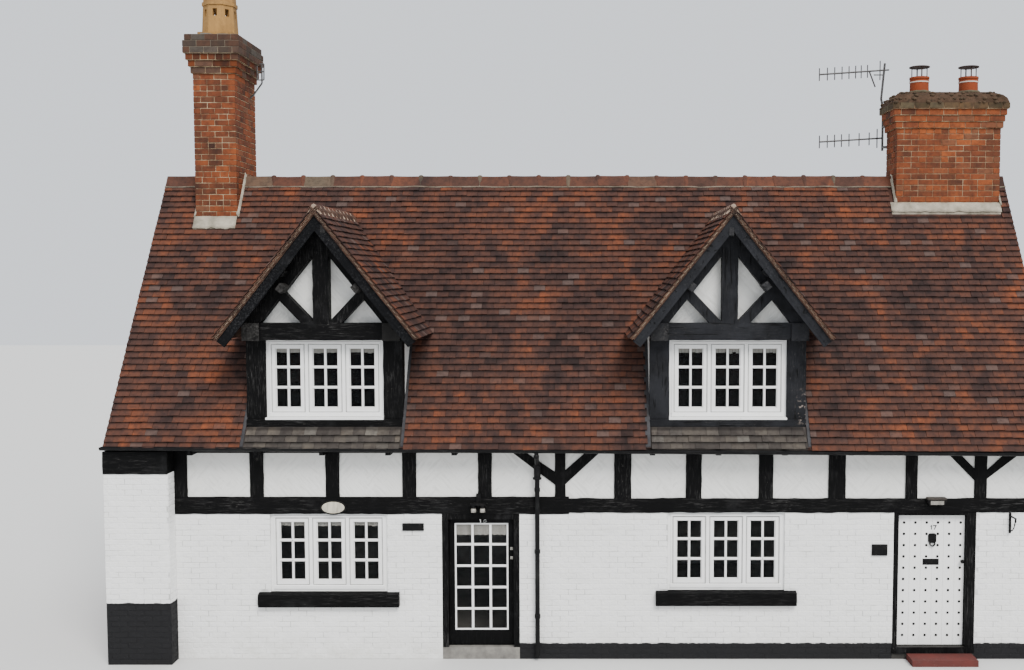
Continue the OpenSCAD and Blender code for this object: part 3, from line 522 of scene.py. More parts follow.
timber_face, lap = -2.210, 0.05
post_faces, rail_faces = bmesh.new(), bmesh.new()
for index, (low, high) in enumerate(solid_boxes("front_studs")):
    hewn_face(post_faces, (high[0], low[2]), quarter, high[2] - low[2] + 0.02, high[0] - low[0],
              timber_face, index)
for start, long, wide, face, seed, wander in (
        ((pier_right, 2.030), rail_joint + lap - pier_right, 0.232, timber_face, 31, 0.007),
        ((rail_joint - lap, 2.050), half_length + lap - rail_joint, 0.190, timber_face, 32, 0.010),
        ((-half_length, 2.622), 0.870, 0.240, pier_y - 0.010, 33, 0.006)):
    hewn_face(rail_faces, start, 0, long, wide, face, seed, wander)
make_piece("hewn_post_faces", post_faces, upright_timber)
make_piece("hewn_rail_faces", rail_faces, level_timber)


# ---- Plaster panels ----
# Lime plaster between the timbers, trowelled by hand in slanting strokes and
# limewashed, so it is a shade greyer than the painted brick.
def plaster_finish():
    finish, tree, shader = new_finish("trowelled_limewash", (0.76, 0.76, 0.73), 0.85, 0.2)
    colour = cloud_over(tree, (0.79, 0.79, 0.765), (0.67, 0.67, 0.63), 0.6, 1.6, 0.40, 0.72)
    colour = cloud_over(tree, colour, (0.50, 0.49, 0.45), 0.35, 9, 0.60, 0.80, (1, 1, 0.35))
    strokes = []
    for slant in (0.85, -0.85):
        turned = add_node(tree, "ShaderNodeVectorRotate", {"Vector": house_place(tree), "Angle": slant},
                          rotation_type="Y_AXIS")
        long_stroke = add_node(tree, "ShaderNodeVectorMath", {0: turned.outputs[0], 1: (4.0, 4.0, 26.0)},
                               operation="MULTIPLY")
        strokes.append(add_node(tree, "ShaderNodeTexNoise",
                                {"Vector": long_stroke.outputs[0], "Scale": 1.0, "Detail": 3.0}).outputs["Fac"])
    either = add_stain(tree, 2.6, 0.44, 0.56)
    first = combine(tree, strokes[0], either)
    second = combine(tree, strokes[1], combine(tree, 1.0, either, "SUBTRACT"))
    drawn = combine(tree, first, second, "ADD")
    colour = blend_colours(tree, level_mask(tree, drawn, 0.50, 0.36), colour, (0.63, 0.63, 0.60), 0.55)
    paint_on(tree, shader, colour, drawn, 0.9, 0.014)
    return finish


dress(plaster_finish(), "front_panels", "rear_panels", "dormer_infill")


# ---- Main roof ----
# Hand-made clay plain tiles laid to a 100 mm gauge with broken joints. Each
# tail lies on the course below, with a dark line under it of dirt and painted shade.
roof_pitch = math.radians(57.7)
roof_rise = math.tan(roof_pitch)
tile_wide, tile_half = 0.165, 0.0812
tile_long, tile_gauge = 0.132, 0.100
tile_tilt = math.radians(9.5)
eaves = (-2.405, 2.9707)
heel_z, ridge_top = 3.295, 6.775


def tile_pattern():
    work = bmesh.new()
    xs = (-tile_half, -tile_half / 3, tile_half / 3, tile_half)
    rise = (0.0, 0.0026, 0.0026, 0.0)
    dip = (0.0, -0.0015, 0.001, 0.0)
    (low_a, high_a), (low_b, high_b) = (
        [[work.verts.new((x, y + d * tail, thick + r)) for x, r, d in zip(xs, rise, dip)]
         for thick in (0.0, 0.013)] for y, tail in ((0.0, 1), (tile_long, 0)))
    for i in range(3):
        work.faces.new((high_a[i], high_a[i + 1], high_b[i + 1], high_b[i]))
        work.faces.new((low_a[i], low_b[i], low_b[i + 1], low_a[i + 1]))
        work.faces.new((low_a[i], low_a[i + 1], high_a[i + 1], high_a[i]))
        work.faces.new((low_b[i], high_b[i], high_b[i + 1], low_b[i + 1]))
    for i in (0, 3):
        work.faces.new((low_a[i], high_a[i], high_b[i], low_b[i]))
    return pattern_piece(work, run=lambda point: min(1.0, max(0.0, point.y / tile_long)))


def clay_finish(name, ramp, grey, grey_share, tone_part=0.40, tail_shade_and_dirt=0.8, streak=(1, 1, 0.36)):
    """Fired clay; ramp names the darkest and the brightest colour first."""
    finish, tree, shader = new_finish(name, ramp[2][1], 0.88, 0.1)
    tone, tone_b, run = (add_node(tree, "ShaderNodeAttribute", attribute_name=title).outputs["Fac"]
                         for title in ("tone", "tone_b", "run"))
    level = combine(tree, tone, tone_part)
    for scale, stretch, share in ((1.5, streak, 0.62), (4.6, (1, 1, 0.5), 0.38)):
        cloud = combine(tree, add_stain(tree, scale, 0.34, 0.68, stretch), (1 - tone_part) * share)
        level = combine(tree, level, cloud, "ADD")
    colours = add_node(tree, "ShaderNodeValToRGB", {"Fac": level})
    marks = colours.color_ramp.elements
    for index, (stop, colour) in enumerate(ramp):
        mark = marks[index] if index < 2 else marks.new(stop)
        mark.position = stop
        mark.color = (*colour, 1)
    pale = level_mask(tree, tone_b, 1 - grey_share, 1 - grey_share * 0.4)
    result = blend_colours(tree, pale, colours.outputs["Color"], grey, 0.75)
    result = cloud_over(tree, result, (0.022, 0.016, 0.015), 0.5, 16, 0.44, 0.72)
    result = cloud_over(tree, result, (0.020, 0.016, 0.016), 0.6, 1.7, 0.59, 0.70, (1.3, 1.3, 0.13))
    result = cloud_over(tree, result, (0.17, 0.155, 0.12), 0.5, 34, 0.70, 0.76)
    # Darker towards each tile's head, under the next course's tail: partly dirt, partly painted shade.
    result = blend_colours(tree, level_mask(tree, run, 0.46, 0.72), result, (0.006, 0.005, 0.005), tail_shade_and_dirt)
    paint_on(tree, shader, result, add_stain(tree, 48), 0.5, 0.003)
    return finish


clay_ramp = [(0.12, (0.021, 0.014, 0.013)), (0.94, (0.215, 0.062, 0.026)), (0.28, (0.040, 0.023, 0.020)),
             (0.44, (0.063, 0.031, 0.024)), (0.58, (0.087, 0.037, 0.025)), (0.74, (0.126, 0.044, 0.024))]
clay_tiles = clay_finish("weathered_clay_tiles", clay_ramp, (0.088, 0.062, 0.054), 0.075, tone_part=0.30)
dress(clay_tiles, "front_slope", "rear_slope")


def sag(x, along):
    """How far the old roof lies out of its plane."""
    return 0.010 * waver(x * 0.55, along * 0.7, 3.1) + 0.005 * waver(x * 2.3, along * 1.9, 8.2)


tile_shake = random.Random(5)


def tile_run(places, row, spans, spot, turn, shift=0.0):
    """One course; spot(u, row) gives a point of the slope."""
    offset = (row % 2) * tile_wide / 2 + shift
    for a, b in spans:
        at = math.floor((a - offset) / tile_wide) * tile_wide + offset
        while at < b:
            left, right = max(at, a), min(at + tile_wide, b)
            if right - left > 0.03:
                narrow = tile_shake.uniform(0.0015, 0.0045)
                lift = Vector((0, 0, tile_shake.uniform(-0.0025, 0.0025)))
                point = Vector(spot((left + right) / 2, row)) + lift
                places.append((point, ((right - left - narrow) / (2 * tile_half), 1, 1), turn))
            at += tile_wide


dormer_spots = (-3.536, 1.951)
dormer_pitch = math.radians(51.6)
dormer_rise = math.tan(dormer_pitch)
dormer_eaves, dormer_top = 4.477, 6.1676
left_shaft, right_shaft = (-5.8925, -5.2775, -0.40, 0.55), (4.7555, 6.3205, -0.26, 0.295)
left_lead, right_lead, lead_foot = (-5.905, -5.275), (4.665, 6.325), 5.93


def front_cuts(z):
    """The stretches where dormers and stacks stand through a course."""
    cuts = []
    for x in dormer_spots:
        half = 1.10 if z < 4.47 else (dormer_top - z) / dormer_rise - 0.02
        if half > 0:
            cuts.append((x - half, x + half))
    if z > lead_foot:
        cuts.append(left_lead)
    if z > lead_foot + 0.25:
        cuts.append(right_lead)
    return cuts


def rear_cuts(z):
    return [shaft[:2] for shaft, foot in ((left_shaft, 5.88), (right_shaft, 6.28)) if z > foot]


def main_spot(side):
    def spot(x, row):
        settle = max(0.0, 1 - row / 7) * -0.024 * x / half_length
        along = row * tile_gauge - 0.045 + settle
        lift = 0.013 + sag(x, along) + (0.004 if row == 0 else 0)
        along += 0.006 * waver(x * 1.4, row * 0.35, side)
        along += 0.003 * waver(x * 6.0, row * 1.7, side)
        y = eaves[0] + along * math.cos(roof_pitch) - lift * math.sin(roof_pitch)
        z = eaves[1] + along * math.sin(roof_pitch) + lift * math.cos(roof_pitch)
        return (x, y if side < 0 else -y, z)
    return spot


tiles = tile_pattern()
front_tiles, rear_tiles = [], []
for row in range(46):
    z = eaves[1] + (row * tile_gauge) * math.sin(roof_pitch)
    if z > ridge_top - 0.10:
        break
    for places, cuts, side, turn in ((front_tiles, front_cuts(z), -1, 0),
                                     (rear_tiles, rear_cuts(z), 1, math.pi)):
        tile_run(places, row, course_spans(-half_length, half_length, cuts), main_spot(side),
                 (roof_pitch - tile_tilt, 0, turn))
for name, places, seed in (("front_tiles", front_tiles, 11), ("rear_tiles", rear_tiles, 12)):
    lay(name, places, tiles, clay_tiles, seed, turn_jitter=0.014, lift_jitter=0.003)


# ---- Ridge ----
# Angled clay ridge tiles, 450 mm long, bedded on a wavy bead of pale mortar.
# Each joint was pressed full with mortar that has weathered as dark as clay.
def stained_finish(name, colour, other, clouds, strength=1.0, relief=None, roughness=0.8, shine=0.2,
                   metal=0.0):
    """One colour with clouds of another; relief is (scale, strength, depth)."""
    finish, tree, shader = new_finish(name, colour, roughness, shine)
    shader.inputs["Metallic"].default_value = metal
    tone = cloud_over(tree, colour, other, strength, *clouds)
    if relief:
        scale, rise, depth = relief
        paint_on(tree, shader, tone, add_stain(tree, scale, 0.2, 0.8, *clouds[3:]), rise, depth)
    else:
        tree.links.new(tone, shader.inputs["Base Color"])
    return finish


def mortar_finish(name, colour, dark, lumps=34):
    return stained_finish(name, colour, dark, (6, 0.35, 0.70), 0.8, (lumps, 0.7, 0.008), roughness=0.92)


ridge_ramp = [(0.10, (0.036, 0.021, 0.018)), (0.95, (0.185, 0.062, 0.030)), (0.4, (0.068, 0.034, 0.025)),
              (0.7, (0.104, 0.042, 0.027))]
ridge_clay = clay_finish("ridge_clay", ridge_ramp, (0.115, 0.100, 0.070), 0.25, tail_shade_and_dirt=0.0)
pale_mortar = mortar_finish("lime_mortar", (0.20, 0.165, 0.125), (0.045, 0.034, 0.027))
dress(pale_mortar, "ridge_tiles")
ridge_long = 0.432


def join_rings(work, rings, ends=True):
    """Faces from each ring of points to the next, and over both ends."""
    for a, b in zip(rings, rings[1:]):
        for i in range(len(a)):
            j = (i + 1) % len(a)
            work.faces.new((a[i], a[j], b[j], b[i]))
    if ends:
        work.faces.new(rings[0][::-1])
        work.faces.new(rings[-1])


def ridge_pattern():
    work = bmesh.new()
    outline = [(-0.108, -0.125), (-0.046, -0.024), (-0.026, 0.020), (-0.010, 0.034), (0.010, 0.034),
               (0.026, 0.020), (0.046, -0.024), (0.108, -0.125), (0.088, -0.130), (0.0, 0.004),
               (-0.088, -0.130)]
    join_rings(work, [[work.verts.new((x, y, z - drop)) for y, z in outline]
                      for x, drop in ((-ridge_long / 2, 0), (0.0, 0.004), (ridge_long / 2, 0))])
    return pattern_piece(work)


def joint_pattern():
    work = bmesh.new()
    outline = [(-0.105, -0.128), (-0.050, -0.022), (-0.026, 0.028), (0.0, 0.046), (0.028, 0.027),
               (0.048, -0.02), (0.105, -0.128)]
    join_rings(work, [[work.verts.new((x, y * grow, z * grow if z > 0 else z)) for y, z in outline]
                      for x, grow in ((-0.030, 0.88), (-0.012, 1.05), (0.010, 1.03), (0.028, 0.88))])
    return pattern_piece(work)


def mortar_bead(work, points, radius, seed):
    """A lumpy bead of mortar laid along points."""
    rings, turns = [], [k * math.tau / 6 for k in range(6)]
    for i, point in enumerate(points):
        grow = radius * (1 + 0.45 * waver(i * 0.9, seed, 2.0))
        way = (points[min(i + 1, len(points) - 1)] - points[max(i - 1, 0)]).normalized()
        side = way.cross(Vector((0.13, 0.31, 0.94))).normalized()
        up = side.cross(way)
        rings.append([work.verts.new(point + (side * math.cos(turn) + up * math.sin(turn)) * grow)
                      for turn in turns])
    join_rings(work, rings)


ridge_places, ridge_joints = [], []
ridge_beads = bmesh.new()
for a, b in ((-half_length, left_shaft[0]), (left_shaft[1], right_shaft[0]), (right_shaft[1], half_length)):
    count = max(1, round((b - a) / 0.45))
    step = (b - a) / count
    for i in range(count):
        x = a + (i + 0.5) * step
        height = ridge_top + 0.010 * waver(x * 0.7, 1.3, 0)
        ridge_places.append(((x, 0, height), ((step - 0.012) / ridge_long, 1, 1), (0, 0, 0)))
        if i:
            ridge_joints.append(((a + i * step, 0, height), (1.1, 1.05, 1.12), (0, 0, 0)))
    for side in (-1, 1):
        marks = max(4, int((b - a) / 0.11))
        line = [Vector((a + (b - a) * i / marks, side * (0.112 + 0.006 * waver(i * 0.7, side, 5)),
                        ridge_top - 0.136 + 0.012 * waver(i * 0.35, side, 9))) for i in range(marks + 1)]
        mortar_bead(ridge_beads, line, 0.013, side * 4.0)
ridge_tile, ridge_joint = ridge_pattern(), joint_pattern()
lay("ridge_row", ridge_places, ridge_tile, ridge_clay, 21, turn_jitter=0.010,
    lift_jitter=0.008)
lay("ridge_joints", ridge_joints, ridge_joint, ridge_clay, 22, turn_jitter=0.08,
    lift_jitter=0.006)
make_piece("ridge_bedding", ridge_beads, pale_mortar, smooth=True)


# ---- Dormers ----
# Two gabled dormers break the main slope. Their own tiles are bedded in mortar
# over the barge boards, purlins run out to carry the boards, and an apron of
# older, greyer tiles lies under each sill.
verge, dormer_reach = -2.626, 1.34
dormer_face, dormer_foot = -2.170, 3.327


def dormer_spot(centre, side):
    def spot(y, row):
        along = row * tile_gauge - 0.03
        lift = 0.013 + 0.5 * sag(y + centre, along)
        along += 0.004 * waver(y * 1.4, row * 0.35, centre + side)
        x = dormer_reach - along * math.cos(dormer_pitch) + lift * math.sin(dormer_pitch)
        z = dormer_eaves + along * math.sin(dormer_pitch) + lift * math.cos(dormer_pitch)
        return (centre + side * x, y, z)
    return spot


dormer_tiles, dormer_ridges, dormer_joints = [], [], []
verge_mortar, verge_tiles = bmesh.new(), bmesh.new()
verge_slope = Matrix.Rotation(-dormer_pitch, 4, "Y")
verge_lean = Matrix.Rotation(tile_tilt * 0.8, 4, "Y")
for centre in dormer_spots:
    for side in (-1, 1):
        for row in range(22):
            z = dormer_eaves + row * tile_gauge * math.sin(dormer_pitch)
            if z > dormer_top - 0.07:
                break
            back = front_y + (z - heel_z) / roof_rise + 0.05
            tile_run(dormer_tiles, row, [(verge - 0.014, back)], dormer_spot(centre, side),
                     (dormer_pitch - tile_tilt, 0, side * quarter), shift=verge - 0.014)
        for i in range(22):
            for layer, reach, drop in ((0, 0.016, 0.040), (1, 0.024, 0.016)):
                face = verge - reach - 0.003 * waver(i * 1.7, layer, centre + side)
                made = add_box(verge_tiles, (0, face, 0.004), (0.118, verge + 0.05, 0.016))
                lift = 0.003 * waver(i * 2.3, layer + 4, centre) - drop
                placed = Matrix.Translation((i * tile_gauge - 0.02, 0, lift))
                bmesh.ops.transform(verge_tiles, matrix=verge_slope @ placed @ verge_lean, verts=made)
                for vert in made:
                    vert.co.x = centre + side * (dormer_reach - vert.co.x)
                    vert.co.z += dormer_eaves
        line = []
        for i in range(27):
            x, drift = 1.335 * i / 26, 0.005 * waver(i * 0.8, centre, side)
            line.append(Vector((centre + side * (1.315 - x), verge + 0.006 + drift,
                                dormer_eaves + x * dormer_rise - 0.016)))
        mortar_bead(verge_mortar, line, 0.0155, centre + side)
    for i in range(10):
        y = -2.600 + (i + 0.5) * 0.219
        tile_size, joint_size = (0.205 / ridge_long, 0.92, 0.92), (0.80, 0.955, 0.80)
        dormer_ridges.append(((centre, y, dormer_top + 0.020), tile_size, (0, 0, quarter)))
        dormer_joints.append(((centre, y - 0.108, dormer_top + 0.017), joint_size, (0, 0, quarter)))


def toned(colour, factor, lift=(0, 0, 0)):
    return tuple(value * factor + rise for value, rise in zip(colour, lift))


def toned_ramp(ramp, factor, lift=(0, 0, 0)):
    return [(stop, toned(colour, factor, lift)) for stop, colour in ramp]


dormer_ridge_clay = clay_finish("dormer_ridge_clay", toned_ramp(ridge_ramp, 1.25), (0.14, 0.07, 0.045), 0.2,
                                tail_shade_and_dirt=0.0)
cream_mortar = mortar_finish("cream_mortar", (0.41, 0.365, 0.29), (0.15, 0.138, 0.105))
brown_mortar = mortar_finish("verge_mortar", (0.47, 0.385, 0.28), (0.130, 0.092, 0.068), lumps=22)
stripe_mortar = mortar_finish("stripe_mortar", (0.34, 0.26, 0.20), (0.16, 0.11, 0.08))
verge_clay = stained_finish("verge_clay", (0.105, 0.058, 0.040), (0.028, 0.019, 0.016), (7, 0.35, 0.65),
                            relief=(40, 0.5, 0.004), roughness=0.9, shine=0.1)
lay("dormer_tiles", dormer_tiles, tiles, clay_tiles, 31, turn_jitter=0.014, lift_jitter=0.003)
lay("dormer_ridge_row", dormer_ridges, ridge_tile, dormer_ridge_clay, 33, turn_jitter=0.010,
    lift_jitter=0.004)
lay("dormer_ridge_joints", dormer_joints, ridge_joint, stripe_mortar, 34, turn_jitter=0.05)
make_piece("verge_tiles", verge_tiles, verge_clay)
make_piece("verge_mortar", verge_mortar, brown_mortar, smooth=True)
dress(verge_clay, "dormer_roofs")

grey_ramp = [(0.10, (0.030, 0.027, 0.025)), (0.95, (0.17, 0.135, 0.10)), (0.4, (0.055, 0.048, 0.043)),
             (0.65, (0.085, 0.074, 0.062))]
grey_tiles = clay_finish("old_grey_tiles", grey_ramp, (0.118, 0.110, 0.097), 0.16, tail_shade_and_dirt=0.6)
dress(grey_tiles, "dormer_aprons")
apron_pitch, apron_half = math.atan2(0.2563, 0.185), 1.045
apron_tiles = []


def apron_spot(x, row):
    along = row * 0.104 - 0.03
    lift = 0.012 + 0.5 * sag(x, along)
    return (x, eaves[0] + along * math.cos(apron_pitch) - lift * math.sin(apron_pitch),
            eaves[1] + along * math.sin(apron_pitch) + lift * math.cos(apron_pitch))


for centre in dormer_spots:
    for row in range(3):
        tile_run(apron_tiles, row, [(centre - apron_half, centre + apron_half)], apron_spot,
                 (apron_pitch - tile_tilt, 0, 0))
lay("apron_tiles", apron_tiles, tiles, grey_tiles, 32, turn_jitter=0.03, lift_jitter=0.005)

dormer_faces, dormer_rails, barge_faces, purlins, block_faces = (bmesh.new() for part in range(5))
tie_face, corner_x = -2.320, 1.060
post_wide, barge_wide, block_wide = 0.26, 0.098, 0.235
purlin_spots = (((-0.475, 5.172), (0.517, 5.172)), ((-0.531, 5.192), (0.460, 5.203)))
for number, (centre, spots) in enumerate(zip(dormer_spots, purlin_spots)):
    for side in (-1, 1):
        outer, seed = centre + side * corner_x, number * 2 + side
        hewn_face(dormer_faces, (max(outer, outer - side * post_wide), dormer_foot), quarter, 1.09, post_wide,
                  dormer_face, 40 + seed)
        slope, start = math.pi - dormer_pitch, (centre + 1.300, dormer_eaves - 0.030)
        if side < 0:
            slope, start = dormer_pitch, (centre - 1.300 + barge_wide * math.sin(dormer_pitch),
                                          start[1] - barge_wide * math.cos(dormer_pitch))
        hewn_face(barge_faces, start, slope, 2.03, barge_wide, -2.600, 60 + seed, wander=0.002, proud=0.004)
    hewn_face(dormer_rails, (centre + block_wide - corner_x, 4.417), 0, 2 * (corner_x - block_wide), 0.230,
              tie_face, 50 + number)
    hewn_face(dormer_faces, (centre + 0.106, 4.640), quarter, 1.20, 0.212, tie_face, 54 + number)
    for shift, z in spots:
        made = add_box(purlins, (-0.055, -2.555, -0.0475), (0.055, -2.30, 0.0475), bevel=0.006)
        turn = Matrix.Rotation(-math.copysign(dormer_pitch, -shift), 4, "Y")
        place = Matrix.Translation((centre + shift, 0, z - 0.055))
        bmesh.ops.transform(purlins, matrix=place @ turn, verts=made)
    for start in (centre - corner_x, centre + corner_x - block_wide):
        hewn_face(block_faces, (start, 4.410), 0, block_wide, block_wide, -2.355, 80 + number + start,
                  wander=0.004, proud=0.008)
for x, z in ((-3.425, 5.897), (1.927, 5.861)):
    add_box(purlins, (x - 0.034, -2.612, z - 0.055), (x + 0.034, -2.300, z + 0.055), bevel=0.006)
make_piece("end_block_faces", block_faces, end_timber)
make_piece("hewn_dormer_posts", dormer_faces, upright_timber)
make_piece("hewn_dormer_ties", dormer_rails, level_timber)
barge_black = timber_finish("blue_black_barge", (5, 9, 5), (0.0042, 0.0044, 0.0052),
                            (0.075, 0.076, 0.080), 0.58)
make_piece("barge_faces", barge_faces, barge_black)
make_piece("purlin_ends", purlins, end_timber)
dress(barge_black, "dormer_barges")


# ---- Windows ----
# Painted timber windows, each of three casements with two panes across and
# three down. The bars are rebated and puttied over the glass, and a short
# slatted blind hangs behind most heads at the front.
def white_paint_finish():
    finish, tree, shader = new_finish("white_gloss_paint", (0.85, 0.85, 0.84), 0.42, 0.3)
    colour = cloud_over(tree, (0.87, 0.87, 0.86), (0.75, 0.75, 0.73), 0.5, 3.0, 0.45, 0.75)
    colour = cloud_over(tree, colour, (0.34, 0.32, 0.28), 0.45, 22, 0.66, 0.76, (1, 1, 0.4))
    paint_on(tree, shader, colour, add_stain(tree, 40, stretch=(1, 1, 0.3)), 0.2, 0.002)
    return finish


white_paint = white_paint_finish()
# Near-black, partly opaque glass: a painted shade that darkens the rooms seen through it.
window_glass = stained_finish("window_glass_sheet", (0.005, 0.006, 0.007), (0.016, 0.016, 0.016),
                              (2.2, 0.42, 0.72), 0.8, (2.5, 0.12, 0.01), roughness=0.05, shine=0.12)
window_glass.node_tree.nodes["Principled BSDF"].inputs["Alpha"].default_value = 0.26
dress(white_paint, "dormer_windows", "ground_windows")
dress(window_glass, "upper_glass", "ground_glass")


def framed_bar(work, low, high, upright, front=0.034, back=0.068, chamfer=0.009):
    """A moulded bar; low and high are (x, z) corners seen from the front."""
    rings = []
    for y, inset in ((back, 0.0), (front + 0.010, 0.0), (front, chamfer)):
        dx, dz = (inset, 0.0) if upright else (0.0, inset)
        (x0, z0), (x1, z1) = (low[0] + dx, low[1] + dz), (high[0] - dx, high[1] - dz)
        rings.append([work.verts.new(spot) for spot in ((x0, y, z0), (x1, y, z0), (x1, y, z1), (x0, y, z1))])
    join_rings(work, rings)


light_middles, frame_half = (-0.505, 0.0, 0.505), 0.762


def sash_pattern():
    """Bars and beads of three casements, from the window's middle and foot."""
    work = bmesh.new()
    foot, head, half, bead = 0.152, 0.972, 0.175, 0.011
    for middle in light_middles:
        framed_bar(work, (middle - 0.015, foot), (middle + 0.015, head), True)
        for z in (foot + 0.262, foot + 0.540):
            framed_bar(work, (middle - half, z), (middle + half, z + 0.034), False)
        for low in (middle - half, middle + half - bead):
            framed_bar(work, (low, foot), (low + bead, head), True, 0.044)
        for low in (foot, head - bead):
            framed_bar(work, (middle - half, low), (middle + half, low + bead), False, 0.044)
    for low, high in ((-frame_half, -0.733), (-0.2775, -0.2275), (0.2275, 0.2775), (0.733, frame_half)):
        framed_bar(work, (low, foot - 0.060), (high, head + 0.053), True, 0.021, 0.034, 0.006)
    framed_bar(work, (-frame_half, 0.030), (frame_half, 0.091), False, 0.014, 0.034, 0.008)
    framed_bar(work, (-frame_half, 1.026), (frame_half, 1.062), False, 0.021, 0.034, 0.006)
    return pattern_piece(work)


def casement_joints():
    """Dark strips round each casement, where it shuts against the frame: a painted shadow of the gap."""
    work = bmesh.new()
    line, foot, head = 0.0055, 0.092, 1.025
    for middle in light_middles:
        left, right = middle - 0.2265, middle + 0.2265
        for x0, z0, x1, z1 in ((left, foot, left + line, head), (right - line, foot, right, head),
                               (left + line, foot, right - line, foot + line),
                               (left + line, head - line, right - line, head)):
            add_box(work, (x0, 0.0275, z0), (x1, 0.034, z1))
    return pattern_piece(work)


def add_slat(work, low, high, lean):
    """A thin upright slat whose right half leans back."""
    middle = (low[0] + high[0]) / 2
    for vert in add_box(work, low, high):
        if vert.co.x > middle:
            vert.co.y += lean


window_spots = [((x, front_y, foot), 0) for x, foot in (left_window, right_window)]
window_spots += [((x, yard_y, rear_foot), math.pi) for x, foot in (left_window, right_window)]
window_spots += [((x, dormer_face, dormer_foot), 0) for x in dormer_spots]
window_places = [(spot, (1, 1, 1), (0, 0, turn)) for spot, turn in window_spots]
# Near-black strips with paler clouds: painted shadow in the gaps round the casements.
gap_shadow_finish = stained_finish("casement_gap_shade", (0.05, 0.049, 0.047), (0.24, 0.236, 0.23), (9, 0.4, 0.65),
                            roughness=0.9, shine=0.1)
blind_finish = stained_finish("cream_blind", (0.80, 0.78, 0.72), (0.58, 0.56, 0.50),
                              (12, 0.4, 0.7, (1, 1, 0.2)))
lay("glazing_bars", window_places, sash_pattern(), white_paint, 41)
lay("casement_joints", window_places, casement_joints(), gap_shadow_finish, 42)
blinds = bmesh.new()
for (window_x, face, foot), turn in (window_spots[0], window_spots[4], window_spots[5]):
    for number, middle in enumerate(light_middles):
        for i in range(7):
            x = window_x + middle - 0.168 + i * 0.048
            end = foot + 0.902 + 0.018 * waver(i * 0.9, number, window_x)
            add_slat(blinds, (x, face + 0.082, end), (x + 0.046, face + 0.086, foot + 0.970), 0.007)
make_piece("slatted_blinds", blinds, blind_finish)

sill_skins = bmesh.new()
for x, foot in (left_window, right_window):
    seed = int(10 * x)
    hewn_face(sill_skins, (x - window_half, foot - 0.058), 0, 2 * window_half, 0.040, -2.284, seed + 90,
              wander=0.002, proud=0.003)
    hewn_face(sill_skins, (x - sill_half, foot - 0.150), 0, 2 * sill_half, 0.125, -2.275, seed + 95,
              wander=0.003, proud=0.006)
make_piece("sill_faces", sill_skins, level_timber)


# ---- Left door ----
# A black framed door glazed with fifteen panes between white bars, with a
# pleated blind behind the top row and the house number in white.
def figure_strokes(work, figure, left, foot, wide, high, y, line):
    """A numeral drawn with flat strokes on the plane y."""
    def stroke(a, b):
        a, b = Vector(a), Vector(b)
        way = (b - a).normalized()
        side = Vector((-way.y, way.x)) * line / 2
        a, b = a - way * line / 2, b + way * line / 2
        join_rings(work, [[work.verts.new((p.x, depth, p.y)) for p in (a + side, b + side, b - side, a - side)]
                          for depth in (y, y - 0.004)])

    right, top, middle = left + wide, foot + high, left + wide / 2
    if figure == 1:
        stroke((middle, foot), (middle, top))
        stroke((middle - wide * 0.3, top - high * 0.2), (middle, top))
    elif figure == 7:
        stroke((left, top), (right, top))
        stroke((right, top), (middle - wide * 0.15, foot))
    else:
        turns = [i * math.tau / 10 for i in range(11)]
        bowl = [(middle + math.cos(turn) * wide * 0.46, foot + high * 0.31 + math.sin(turn) * high * 0.29)
                for turn in turns]
        for a, b in zip(bowl, bowl[1:]):
            stroke(a, b)
        stroke((left + wide * 0.05, foot + high * 0.35), (right - wide * 0.15, top))


door_black = timber_finish("black_gloss_door", (9, 9, 0.9), (0.0030, 0.0030, 0.0032), (0.02, 0.02, 0.02))
dress(door_black, "left_door")
dress(window_glass, "left_door_glass")
glass_left, glass_right, glass_foot, glass_head = -1.792, -1.051, 0.380, 1.882
pane_face, stile_face = -2.106, -2.1245
left_bars = bmesh.new()
for upright, first, last, foot, head, count, face in (
        (True, glass_left, glass_right, glass_foot, glass_head, 3, -2.118),
        (False, glass_foot, glass_head, glass_left, glass_right, 5, -2.117)):
    for i in range(count + 1):
        edge = (i == 0) - (i == count)
        half = 0.012 if edge else 0.0165
        at = first + i * (last - first) / count + 0.012 * edge
        low, high = ((at - half, foot), (at + half, head))
        if not upright:
            low, high = low[::-1], high[::-1]
        add_box(left_bars, (low[0], face, low[1]), (high[0], pane_face, high[1]), bevel=0.004)
make_piece("left_door_bars", left_bars, white_paint, body="left_door_leaf")
pleats = bmesh.new()
for i in range(22):
    x = glass_left + 0.004 + i * 0.0334
    add_slat(pleats, (x, -2.0975, 1.706 + 0.008 * (i % 2)), (x + 0.032, -2.0945, 1.878), 0.006)
make_piece("pleated_blind", pleats, blind_finish, body="left_door_leaf")
numerals = bmesh.new()
figure_strokes(numerals, 1, -1.448, 1.8905, 0.032, 0.047, stile_face, 0.011)
figure_strokes(numerals, 6, -1.394, 1.8905, 0.040, 0.047, stile_face, 0.010)
make_piece("left_house_number", numerals, white_paint, body="left_door_leaf")
lock_plates, lock_x = bmesh.new(), -1.006
for z in (1.525, 1.397):
    low, high = (lock_x - 0.018, stile_face - 0.006, z - 0.020), (lock_x + 0.018, stile_face, z + 0.020)
    add_box(lock_plates, low, high, bevel=0.002)
    knob = bmesh.ops.create_uvsphere(lock_plates, u_segments=12, v_segments=8, radius=0.011)["verts"]
    bmesh.ops.translate(lock_plates, vec=(lock_x, stile_face - 0.014, z), verts=knob)
lock_metal = stained_finish("worn_lock_metal", (0.45, 0.44, 0.40), (0.20, 0.19, 0.16), (30, 0.4, 0.7),
                            roughness=0.35, shine=0.5, metal=0.8)
make_piece("left_door_locks", lock_plates, lock_metal, body="left_door_leaf")


